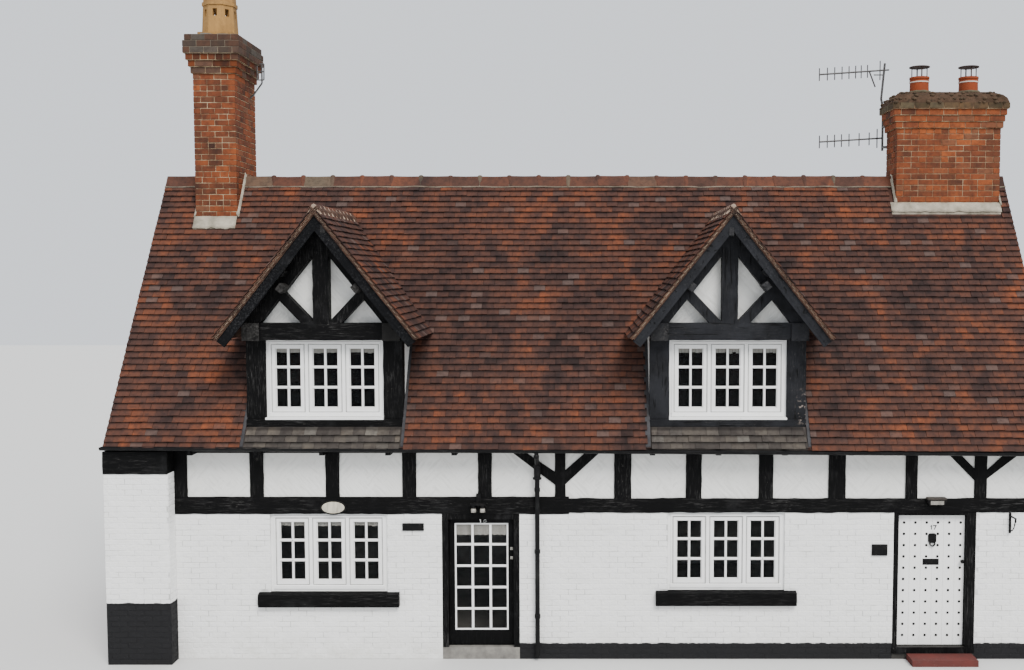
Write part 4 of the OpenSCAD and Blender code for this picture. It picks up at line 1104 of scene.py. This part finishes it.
# ---- Right door ----
# Six white ledged boards with rows of black clenched studs, a black letter
# plate with a sprung flap, a ring knocker and a knob.
black_iron = stained_finish("black_iron_paint", (0.006, 0.006, 0.0065), (0.03, 0.027, 0.024), (12, 0.5, 0.8),
                            0.6, (60, 0.3, 0.002), roughness=0.5, shine=0.08)
dress(white_paint, "right_door")
dress(black_iron, "right_door_ironwork", "wall_fittings")
board_face, board_back = -2.1285, -2.124
boards = bmesh.new()
board_edges = (4.313, 4.476, 4.631, 4.787, 4.942, 5.098, 5.231)
for number, (a, b) in enumerate(zip(board_edges, board_edges[1:])):
    face = board_face - 0.0003 - 0.0005 * (number % 3)
    add_box(boards, (a + 0.002, face, 0.178), (b - 0.002, board_back, 1.996), bevel=0.0028)
make_piece("door_boards", boards, white_paint, body="right_door_leaf")


def stud_pattern():
    work = bmesh.new()
    turns = [i * math.tau / 8 for i in range(8)]
    rings = [[work.verts.new((r * math.cos(turn), y, r * math.sin(turn))) for turn in turns]
             for y, r in ((0.002, 0.0195), (-0.005, 0.0180), (-0.0105, 0.0110))]
    join_rings(work, rings, ends=False)
    tip = work.verts.new((0, -0.0135, 0))
    for i in range(8):
        work.faces.new((rings[-1][i], rings[-1][(i + 1) % 8], tip))
    work.faces.new(rings[0])
    return pattern_piece(work, smooth=True)


stud_places = []
for column in range(6):
    for row in range(11):
        x, z = 4.398 + column * 0.1555, 1.890 - row * 0.1577
        under_flap = 4.65 < x < 4.90 and 1.28 < z < 1.40
        under_knob = 5.15 < x < 5.24 and 1.31 < z < 1.40
        if not (under_flap or under_knob):
            stud_places.append(((x, board_face, z), (1, 1, 1), (0, 0, 0)))
lay("door_studs", stud_places, stud_pattern(), black_iron, 51, body="right_door_leaf")
numerals = bmesh.new()
figure_strokes(numerals, 1, 4.760, 1.797, 0.030, 0.050, board_face, 0.012)
figure_strokes(numerals, 7, 4.802, 1.797, 0.038, 0.050, board_face, 0.012)
grey_metal = stained_finish("grey_numeral", (0.035, 0.035, 0.035), (0.09, 0.09, 0.09), (40, 0.4, 0.7),
                            roughness=0.6, shine=0.1)
make_piece("right_house_number", numerals, grey_metal, body="right_door_leaf")
flap = bmesh.new()
add_box(flap, (4.682, -2.1400, 1.318), (4.862, -2.1340, 1.368), bevel=0.003)
make_piece("letter_flap", flap, black_iron, body="right_door_leaf")


# ---- Wall fittings ----
# A hooded bulkhead lamp, a small twin lantern, a blank oval plaque, two blank
# name plates, and the scroll of the hanging bracket, all screwed to the wall.
def ribbed_glass_finish(name, colour):
    return stained_finish(name, colour, toned(colour, 0.55), (30, 0.4, 0.7, (1, 1, 0.15)), roughness=0.25,
                          shine=0.5)


lamp_glass = ribbed_glass_finish("pale_lamp_glass", (0.36, 0.34, 0.30))
lamp_x = 4.793
lamp, hood = bmesh.new(), bmesh.new()
for i in range(13):
    x = lamp_x - 0.084 + i * 0.014
    add_box(lamp, (x - 0.0055, -2.3070, 2.174), (x + 0.0055, -2.2995, 2.226), bevel=0.002)
make_piece("lamp_ribs", lamp, lamp_glass)
add_box(hood, (lamp_x - 0.131, -2.3100, 2.236), (lamp_x + 0.131, -2.2110, 2.2665), bevel=0.006)
hood_finish = stained_finish("grey_brown_hood", (0.055, 0.047, 0.040), (0.025, 0.022, 0.020), (14, 0.4, 0.7),
                             roughness=0.7, shine=0.15)
make_piece("lamp_hood", hood, hood_finish)

lantern = bmesh.new()
for side in (-1, 1):
    cone = bmesh.ops.create_cone(lantern, cap_ends=True, segments=16, radius1=0.0375, radius2=0.0315,
                                 depth=0.052)
    bmesh.ops.translate(lantern, vec=(-1.448 + side * 0.062, -2.290, 2.0965), verts=cone["verts"])
make_piece("lantern_glass", lantern, lamp_glass, smooth=True)

plaque_x, plaque_z = -3.433, 2.120


def oval_rings(work, sizes):
    """Rings of points; sizes gives each one's half width, half height and y."""
    turns = [i * math.tau / 32 for i in range(32)]
    return [[work.verts.new((plaque_x + a * math.cos(turn), y, plaque_z + b * math.sin(turn)))
             for turn in turns] for a, b, y in sizes]


plaque_face, rim = bmesh.new(), bmesh.new()
join_rings(plaque_face, oval_rings(plaque_face, ((0.155, 0.080, -2.226), (0.155, 0.080, -2.2320),
                                                 (0.10, 0.05, -2.2350))))
rim_rings = oval_rings(rim, ((0.181, 0.101, -2.222), (0.181, 0.101, -2.2330), (0.170, 0.091, -2.2365),
                             (0.158, 0.082, -2.2330), (0.158, 0.082, -2.226)))
join_rings(rim, rim_rings + rim_rings[:1], ends=False)
make_piece("plaque_face", plaque_face, ribbed_glass_finish("cream_plaque", (0.56, 0.52, 0.42)))
make_piece("plaque_rim", rim, black_iron)

scroll, bracket_x, fixing_face = bmesh.new(), 5.820, -2.226
turns = [i / 10 * quarter for i in range(11)]
arm = [(fixing_face - 0.165 * math.sin(turn), 1.800 + 0.205 * (1 - math.cos(turn))) for turn in turns]
for radius, seed, points in (
        (0.008, 1.0, arm), (0.013, 2.0, [(fixing_face, 1.765 + 0.28 * i / 6) for i in range(7)]),
        (0.008, 3.0, [(-2.405 - 0.014 * math.sin(i), 2.000 - 0.016 * i) for i in range(4)])):
    mortar_bead(scroll, [Vector((bracket_x, y, z)) for y, z in points], radius, seed)
make_piece("bracket_scroll", scroll, black_iron, smooth=True)

plates = bmesh.new()
for (x0, z0), (x1, z1) in (((-2.493, 1.796), (-2.199, 1.900)), ((3.936, 1.451), (4.150, 1.608))):
    add_box(plates, (x0, fixing_face, z0), (x1, -2.206, z1), bevel=0.004)
    add_box(plates, (x0 + 0.012, -2.2285, z0 + 0.012), (x1 - 0.012, -2.224, z1 - 0.012), bevel=0.002)
    z = (z0 + z1) / 2
    for x in (x0 + 0.008, x1 - 0.008):
        add_box(plates, (x - 0.004, -2.2295, z - 0.004), (x + 0.004, -2.224, z + 0.004))
make_piece("blank_name_plates", plates, black_iron)


# ---- Steps ----
# Worn stone sills fill both doorways; a red painted step stands in front of
# the plank door.
def step_finish():
    finish, tree, shader = new_finish("step_stone", (0.25, 0.23, 0.21), 0.8, 0.15)
    grey = cloud_over(tree, (0.22, 0.21, 0.19), (0.10, 0.095, 0.09), 0.8, 7, 0.4, 0.7)
    red = cloud_over(tree, (0.110, 0.031, 0.027), (0.070, 0.028, 0.025), 0.8, 5, 0.4, 0.7)
    red = cloud_over(tree, red, (0.16, 0.12, 0.11), 0.4, 24, 0.60, 0.72)
    tone = blend_colours(tree, zone(tree, ("X", 2.9, 3.1), ("Y", -2.215, -2.22)), grey, red)
    under_door = zone(tree, ("X", 2.9, 3.1), ("Y", -2.22, -2.215))
    tone = blend_colours(tree, under_door, tone, (0.020, 0.019, 0.018), 0.9)
    paint_on(tree, shader, tone, add_stain(tree, 30), 0.4, 0.004)
    return finish


dress(step_finish(), "door_steps")


# ---- Inside ----
# A flagged stone floor, an upper floor of boards and party walls of plain
# brick, all bare.
for name, colour, other, stretch, node in (
        ("floor_stone", (0.20, 0.19, 0.17), (0.11, 0.10, 0.09), (1, 1, 1), "ground_floor"),
        ("floor_boards", (0.22, 0.14, 0.08), (0.12, 0.075, 0.045), (0.3, 5, 5), "upper_floor")):
    dress(stained_finish(name, colour, other, (4, 0.35, 0.7, stretch), 0.8, (25, 0.4, 0.004)), node)


def party_brick_finish():
    """Plain brickwork drawn on the flat gable ends and the rooms' end walls."""
    finish, tree, shader = new_finish("party_brick", (0.28, 0.13, 0.09), 0.9, 0.2)
    flat = add_node(tree, "ShaderNodeCombineXYZ", {"X": house_place(tree, "Y"), "Y": house_place(tree, "Z")})
    courses = add_node(tree, "ShaderNodeTexBrick",
                       {"Vector": flat.outputs[0], "Color1": (0.14, 0.052, 0.032, 1),
                        "Color2": (0.24, 0.085, 0.046, 1), "Mortar": (0.24, 0.19, 0.14, 1), "Scale": 1.0,
                        "Mortar Size": 0.005, "Mortar Smooth": 0.2, "Brick Width": brick_step,
                        "Row Height": brick_course})
    tone = cloud_over(tree, courses.outputs["Color"], (0.10, 0.065, 0.05), 0.5, 1.4, 0.40, 0.70, (1, 1, 0.5))
    tone = cloud_over(tree, tone, (0.30, 0.24, 0.19), 0.35, 14, 0.55, 0.75)
    joints = combine(tree, add_stain(tree, 40), courses.outputs["Fac"], "SUBTRACT")
    paint_on(tree, shader, tone, joints, 0.6, 0.006)
    return finish


dress(party_brick_finish(), "party_wall_left", "party_wall_right")


# ---- Stacks ----
# Orange-red stock bricks in lime mortar, stretchers with some headers, and
# oversailing courses at the top. The left stack's head is sooted; the cap of
# the right one is dark with moss.
brick_ramp = [(0.10, (0.040, 0.020, 0.015)), (0.94, (0.33, 0.090, 0.028)), (0.28, (0.090, 0.034, 0.019)),
              (0.50, (0.155, 0.046, 0.021)), (0.72, (0.220, 0.062, 0.023))]
moss_ramp = [(0.10, (0.028, 0.022, 0.014)), (0.94, (0.13, 0.072, 0.034)), (0.28, (0.048, 0.035, 0.020)),
             (0.50, (0.070, 0.046, 0.026)), (0.72, (0.095, 0.058, 0.030))]
stack_brick = clay_finish("stock_brick", brick_ramp, (0.150, 0.066, 0.036), 0.12, tone_part=0.42, tail_shade_and_dirt=0.0,
                          streak=(1, 1, 0.8))
smoked_brick = clay_finish("smoked_brick", toned_ramp(brick_ramp, 0.62), (0.085, 0.055, 0.040), 0.25, tail_shade_and_dirt=0.0)
soot_brick = clay_finish("sooted_brick", toned_ramp(brick_ramp, 0.22, (0.030, 0.026, 0.021)),
                         (0.075, 0.066, 0.055), 0.3, tail_shade_and_dirt=0.0)
moss_brick = clay_finish("mossy_brick", moss_ramp, (0.085, 0.070, 0.042), 0.3, tail_shade_and_dirt=0.0)


def stack_mortar_finish():
    """Lime mortar, with a dark mossy cap over the right stack."""
    finish, tree, shader = new_finish("stack_mortar", (0.34, 0.265, 0.180), 0.92, 0.1)
    tone = cloud_over(tree, (0.39, 0.30, 0.19), (0.125, 0.066, 0.036), 0.92, 5, 0.42, 0.60)
    reddened = combine(tree, zone(tree, ("X", 3.0, 3.5)), add_stain(tree, 2.2, 0.32, 0.58))
    tone = blend_colours(tree, reddened, tone, (0.175, 0.088, 0.046), 0.7)
    moss = cloud_over(tree, (0.046, 0.028, 0.018), (0.080, 0.048, 0.031), 1.0, 7, 0.38, 0.66)
    moss = cloud_over(tree, moss, (0.022, 0.018, 0.012), 0.85, 15, 0.52, 0.70)
    tone = blend_colours(tree, zone(tree, ("Z", 7.80, 7.86), ("X", 3.0, 3.5)), tone, moss)
    soot = zone(tree, ("Z", 8.50, 8.68), ("X", -3.0, -3.5))
    tone = blend_colours(tree, soot, tone, (0.105, 0.095, 0.078), 0.8)
    indoors = zone(tree, ("Z", 5.00, 4.95))
    tone = blend_colours(tree, indoors, tone, (0.50, 0.47, 0.41))
    paint_on(tree, shader, tone, add_stain(tree, 18), 0.8, 0.016)
    return finish


dress(stack_mortar_finish(), "left_stack", "right_stack")
stack_course, stack_high, header_step = 0.086, 0.075, 0.1175
stack_shake = random.Random(17)


def stack_brick_pattern():
    work = bmesh.new()
    half_long, half_high = brick_long / 2, stack_high / 2
    add_box(work, (-half_long, 0, -half_high), (half_long, brick_deep, half_high), bevel=0.004)
    return pattern_piece(work)


def ring_places(shaft, top, base, juts, courses, out_else=0):
    """Courses from the top down; juts and courses give the first ones' reach and height."""
    x0, x1, y0, y1 = shaft
    rows, row, z = [], 0, top
    while z > base + 0.04:
        high = courses[row] if row < len(courses) else stack_course
        out = juts.get(row, out_else) + 0.006
        a, b, c, d = x0 - out, x1 + out, y0 - out, y1 + out
        corner = brick_deep + 0.0075
        front = (a, b) if row % 2 else (a + corner, b - corner)
        side = (c + corner, d - corner) if row % 2 else (c, d)
        places = []
        for run, fixed, turn in ((front, c, 0), (front, d, math.pi), (side, b, quarter), (side, a, -quarter)):
            wanted = header_step if row % 5 == 3 else brick_step
            count = max(1, round((run[1] - run[0] + 0.010) / wanted))
            step = (run[1] - run[0] + 0.010) / count
            for i in range(count):
                middle = run[0] + (i + 0.5) * step - 0.005
                proud = stack_shake.uniform(-0.003, 0.002)
                level = z - high / 2 + stack_shake.uniform(-0.0015, 0.0015)
                if turn in (0, math.pi):
                    spot = (middle, fixed - math.cos(turn) * proud, level)
                else:
                    spot = (fixed + math.copysign(proud, turn), middle, level)
                thick = (high - stack_shake.uniform(0.007, 0.011)) / stack_high
                long = (step - stack_shake.uniform(0.006, 0.010)) / brick_long
                places.append((spot, (long, 1.0, thick), (0, 0, turn)))
        rows.append(places)
        z -= high
        row += 1
    return rows


left_jut = {0: 0.088, 1: 0.110, 2: 0.110, 3: 0.080, 4: 0.052, 5: 0.027}
right_jut = {0: 0.066, 1: 0.047, 2: 0.028}
cap_foot, cap_top, cap_jut = 7.800, 7.893, 0.095
left_rows = ring_places(left_shaft, 8.880, 5.75, left_jut, (0.095,) * 6)
right_rows = ring_places(right_shaft, cap_foot, 5.85, right_jut, (0.095,) * 3)
cap_rows = ring_places(right_shaft, cap_top, cap_foot, {}, (cap_top - cap_foot,), cap_jut)
stack_pattern = stack_brick_pattern()
for name, rows, finish, seed, jitter in (
        ("stack_bricks", left_rows[6:] + right_rows, stack_brick, 61, 0.008),
        ("smoked_bricks", left_rows[3:6], smoked_brick, 64, 0.008),
        ("sooted_bricks", left_rows[:3], soot_brick, 62, 0.008),
        ("cap_bricks", cap_rows, moss_brick, 63, 0.012)):
    lay(name, [place for row in rows for place in row], stack_pattern, finish, seed,
        turn_jitter=jitter)


def mortar_patch(work, rows, seed, lump):
    """A lumpy closed skin of mortar through rows of points; front then back."""
    loops = []
    for i, row in enumerate(rows):
        front, back = [], []
        for j, (point, out) in enumerate(row):
            grow = lump * (0.6 + waver(i * 1.1, j * 1.3, seed * 2.9))
            front.append(work.verts.new(Vector(point) + Vector(out) * grow))
            back.append(work.verts.new(Vector(point) - Vector(out) * 0.012))
        loops.append((front, back))
    last = len(rows[0]) - 1
    for (fa, ba), (fb, bb) in zip(loops, loops[1:]):
        for j in range(last):
            work.faces.new((fa[j], fa[j + 1], fb[j + 1], fb[j]))
            work.faces.new((ba[j], bb[j], bb[j + 1], ba[j + 1]))
        for j in (0, last):
            work.faces.new((fa[j], fb[j], bb[j], ba[j]))
    for front, back in (loops[0], loops[-1]):
        for j in range(last):
            work.faces.new((front[j], front[j + 1], back[j + 1], back[j]))


def clump_pattern():
    """A clump of moss and old mortar, such as line the rounded cap's edge."""
    work = bmesh.new()
    bmesh.ops.create_icosphere(work, subdivisions=1, radius=1.0)
    for vert in work.verts:
        vert.co *= 1 + 0.22 * noise.noise(vert.co * 2.1)
    return pattern_piece(work, smooth=True)


cap_steps = ((0.0, 0.095), (0.020, 0.150), (0.060, 0.205), (0.115, 0.243), (0.180, 0.262))
x0, x1, y0, y1 = right_shaft
clumps = []
for i in range(150):
    inset, rise = stack_shake.choice(cap_steps)
    across, ahead = (x1 - x0) / 2 + cap_jut - inset, (y1 - y0) / 2 + cap_jut - inset
    if i % 3 == 2:
        shift = (stack_shake.choice((-1, 1)) * across, stack_shake.uniform(-ahead, ahead))
    else:
        shift = (stack_shake.uniform(-across, across), stack_shake.choice((-1, 1, -1)) * ahead)
    wide = stack_shake.uniform(0.018, 0.042)
    spot = ((x0 + x1) / 2 + shift[0], (y0 + y1) / 2 + shift[1], cap_foot + rise)
    clumps.append((spot, (wide, wide, wide * 0.62), (0, 0, stack_shake.uniform(0, 3))))
moss_clay = mortar_finish("moss_clump", (0.082, 0.052, 0.031), (0.028, 0.022, 0.014), lumps=60)
lay("cap_clumps", clumps, clump_pattern(), moss_clay, 65, turn_jitter=0.3)


def slope_height(y):
    """The height of the roof's bare slope at y."""
    return heel_z + (yard_y - abs(y)) * roof_rise


# Mortar fillets run up both sides of both stacks, where the roof meets them.
fillets = bmesh.new()
for seed, x, way, low, high in (
        (1, left_shaft[1], 1, -0.42, 0.62), (2, left_shaft[0], -1, -0.42, 0.62),
        (3, right_shaft[0], -1, -0.30, 0.34), (4, right_shaft[1], 1, -0.30, 0.34)):
    rows = []
    for i in range(11):
        y = low + (high - low) * i / 10
        z = slope_height(y) + 0.075
        rows.append([((x + way * 0.008, y, z + 0.030), (way, 0, 0)),
                     ((x + way * 0.014, y, z + 0.004), (way, 0, 0.5)),
                     ((x + way * 0.036, y, z - 0.028), (way * 0.3, 0, 1))])
    mortar_patch(fillets, rows, seed, lump=0.007)
make_piece("stack_fillets", fillets, cream_mortar, smooth=True)


# ---- Pots ----
# A tall buff pot on the left stack, two short red pots with rusted rain caps
# on the right one, all bedded in sloped mortar.
def pot_finish(name, colour, dark, band=None):
    """band is the foot, the head and the colour of a painted ring."""
    finish, tree, shader = new_finish(name, colour, 0.8, 0.15)
    tone = cloud_over(tree, colour, dark, 0.85, 3.2, 0.35, 0.7, (1, 1, 0.3))
    tone = cloud_over(tree, tone, toned(colour, 1.45), 0.35, 13, 0.56, 0.74)
    tone = cloud_over(tree, tone, toned(dark, 0.35), 0.6, 20, 0.62, 0.74, (1, 1, 0.5))
    if band:
        low, high, paint = band
        ring = zone(tree, ("Z", low, low + 0.006), ("Z", high + 0.006, high))
        tone = blend_colours(tree, ring, tone, paint, 0.85)
    paint_on(tree, shader, tone, add_stain(tree, 26), 0.5, 0.005)
    return finish


red_band = (8.234, 8.252, (0.62, 0.56, 0.50))
dress(pot_finish("buff_pot", (0.37, 0.205, 0.066), (0.125, 0.073, 0.034)), "left_pot")
dress(pot_finish("red_pot", (0.24, 0.046, 0.014), (0.115, 0.034, 0.017), red_band), "right_pots")
dress(pot_finish("rusted_cap", (0.045, 0.026, 0.020), (0.020, 0.016, 0.014)), "pot_cowls")
left_pot_x, right_pot_xs, right_pot_y, right_bed = -5.610, (5.159, 5.917), 0.0175, 0.158
pot_bed, pot_lumps = bmesh.new(), bmesh.new()
rows = []
for i in range(21):
    turn = i * math.tau / 20
    x, y = math.cos(turn), math.sin(turn)
    corner = 1 / max(abs(x), abs(y))
    rows.append([((left_pot_x + x * reach * corner, y * reach * corner, z), (x * 0.4, y * 0.4, 1))
                 for reach, z in ((0.262, 8.925), (0.290, 8.905), (0.300, 8.880))])
mortar_patch(pot_bed, rows, 7, lump=0.016)
for pot_x in right_pot_xs:
    turns = [i * math.tau / 18 for i in range(19)]
    line = [Vector((pot_x + right_bed * math.cos(turn), right_pot_y + right_bed * math.sin(turn), 8.088))
            for turn in turns]
    mortar_bead(pot_lumps, line, 0.024, pot_x)
sooted_mortar = mortar_finish("sooted_mortar", (0.16, 0.14, 0.12), (0.07, 0.062, 0.055))
mossy_mortar = mortar_finish("mossy_mortar", (0.12, 0.10, 0.062), (0.05, 0.044, 0.030))
make_piece("left_pot_bed", pot_bed, sooted_mortar, smooth=True)
make_piece("right_pot_beds", pot_lumps, mossy_mortar, smooth=True)


# ---- Rain goods and lead ----
# Black gutters and a downpipe; dark lead beside the dormers, and pale mortar
# spread over the lead at the foot of the stacks.
def lead_finish():
    finish, tree, shader = new_finish("dull_lead", (0.050, 0.050, 0.054), 0.7, 0.15)
    tone = cloud_over(tree, (0.050, 0.050, 0.054), (0.022, 0.021, 0.022), 0.8, 6, 0.35, 0.70)
    patch = cloud_over(tree, (0.37, 0.33, 0.265), (0.15, 0.135, 0.10), 1.0, 6, 0.36, 0.66)
    tone = blend_colours(tree, zone(tree, ("Z", 5.40, 5.45)), tone, patch)
    paint_on(tree, shader, tone, add_stain(tree, 24), 0.7, 0.010)
    return finish


gutter_black = stained_finish("black_gutter_gloss", (0.005, 0.005, 0.0055), (0.025, 0.025, 0.024),
                              (5, 0.5, 0.75), 0.6, (20, 0.15, 0.002), roughness=0.4, shine=0.12)
dress(gutter_black, "rain_goods")
dress(lead_finish(), "flashings")
slope_out = (0, -math.sin(roof_pitch), math.cos(roof_pitch))
apron_lumps = bmesh.new()
for x0, x1, y0, y1, seed in ((-5.910, -5.270, -0.530, -0.420, 11), (4.660, 6.330, -0.368, -0.285, 12)):
    rows = []
    count = max(6, int((x1 - x0) / 0.07))
    for i in range(count + 1):
        x, foot = x0 + (x1 - x0) * i / count, y0 + 0.018 * waver(i * 0.9, seed, 0)
        steps = [(foot + (y1 - foot) * part, 0.050 + 0.01 * part) for part in (0.0, 0.3, 0.65, 1.0)]
        rows.append([((x, y, slope_height(y) + rise), slope_out) for y, rise in steps])
    mortar_patch(apron_lumps, rows, seed, lump=0.014)
make_piece("apron_mortar", apron_lumps, cream_mortar, smooth=True)


# ---- Aerials ----
# Two old rod aerials are strapped to the stacks: a bent mast with two booms
# of short cross rods on the right stack, a small bracket one on the left.
def add_rod(work, a, b, y, radius):
    """A round rod on the plane y; a and b are its (x, z) ends."""
    a, b = Vector((a[0], y, a[1])), Vector((b[0], y, b[1]))
    way = b - a
    made = bmesh.ops.create_cone(work, cap_ends=True, segments=6, radius1=radius, radius2=radius,
                                 depth=way.length)["verts"]
    turn = Vector((0, 0, 1)).rotation_difference(way).to_matrix().to_4x4()
    bmesh.ops.transform(work, matrix=Matrix.Translation((a + b) / 2) @ turn, verts=made)


def bent_rod(work, points, y, radius):
    for a, b in zip(points, points[1:]):
        add_rod(work, a, b, y, radius)


rods = bmesh.new()
mast_y, bracket_y = 0.412, 0.30
bent_rod(rods, ((4.712, 7.250), (4.712, 7.930)), mast_y, 0.018)
bent_rod(rods, ((4.712, 7.926), (4.682, 8.065), (4.732, 8.621)), mast_y, 0.018)
for z in (7.30, 7.62):
    add_box(rods, (4.700, 0.285, z - 0.012), (4.800, mast_y + 0.012, z + 0.012))
booms = (((3.700, 8.445), (4.801, 8.519), (0, 0.115, 0.220, 0.325, 0.425, 0.520, 0.600, 0.690, 0.870)),
         ((3.714, 7.390), (4.712, 7.451), (0, 0.125, 0.240, 0.350, 0.470, 0.630, 0.790, 0.915)))
for start, stop, parts in booms:
    add_rod(rods, start, stop, mast_y, 0.014)
    for part in parts:
        x, z = (a + (b - a) * part for a, b in zip(start, stop))
        reach = 0.150 if part > 0.8 else 0.100
        add_rod(rods, (x, z - reach), (x, z + reach), mast_y, 0.009)
add_rod(rods, (4.716, 8.440), (4.560, 8.440), mast_y, 0.010)
add_rod(rods, (4.486, 8.500), (4.585, 8.250), mast_y, 0.012)
bent_rod(rods, ((-5.270, 8.060), (-5.206, 8.117), (-5.077, 8.291), (-5.077, 8.600)), bracket_y, 0.013)
for a, b in (((-5.152, 8.341), (-5.046, 8.341)), ((-5.046, 8.341), (-5.041, 8.589)),
             ((-5.152, 8.341), (-5.150, 8.560)), ((-5.150, 8.470), (-5.041, 8.470)),
             ((-5.109, 8.589), (-5.041, 8.589))):
    add_rod(rods, a, b, bracket_y, 0.010)
rod_metal = stained_finish("dull_rod_metal", (0.10, 0.10, 0.10), (0.045, 0.035, 0.03), (30, 0.4, 0.7),
                           roughness=0.55, shine=0.3, metal=0.6)
make_piece("aerials", rods, rod_metal)
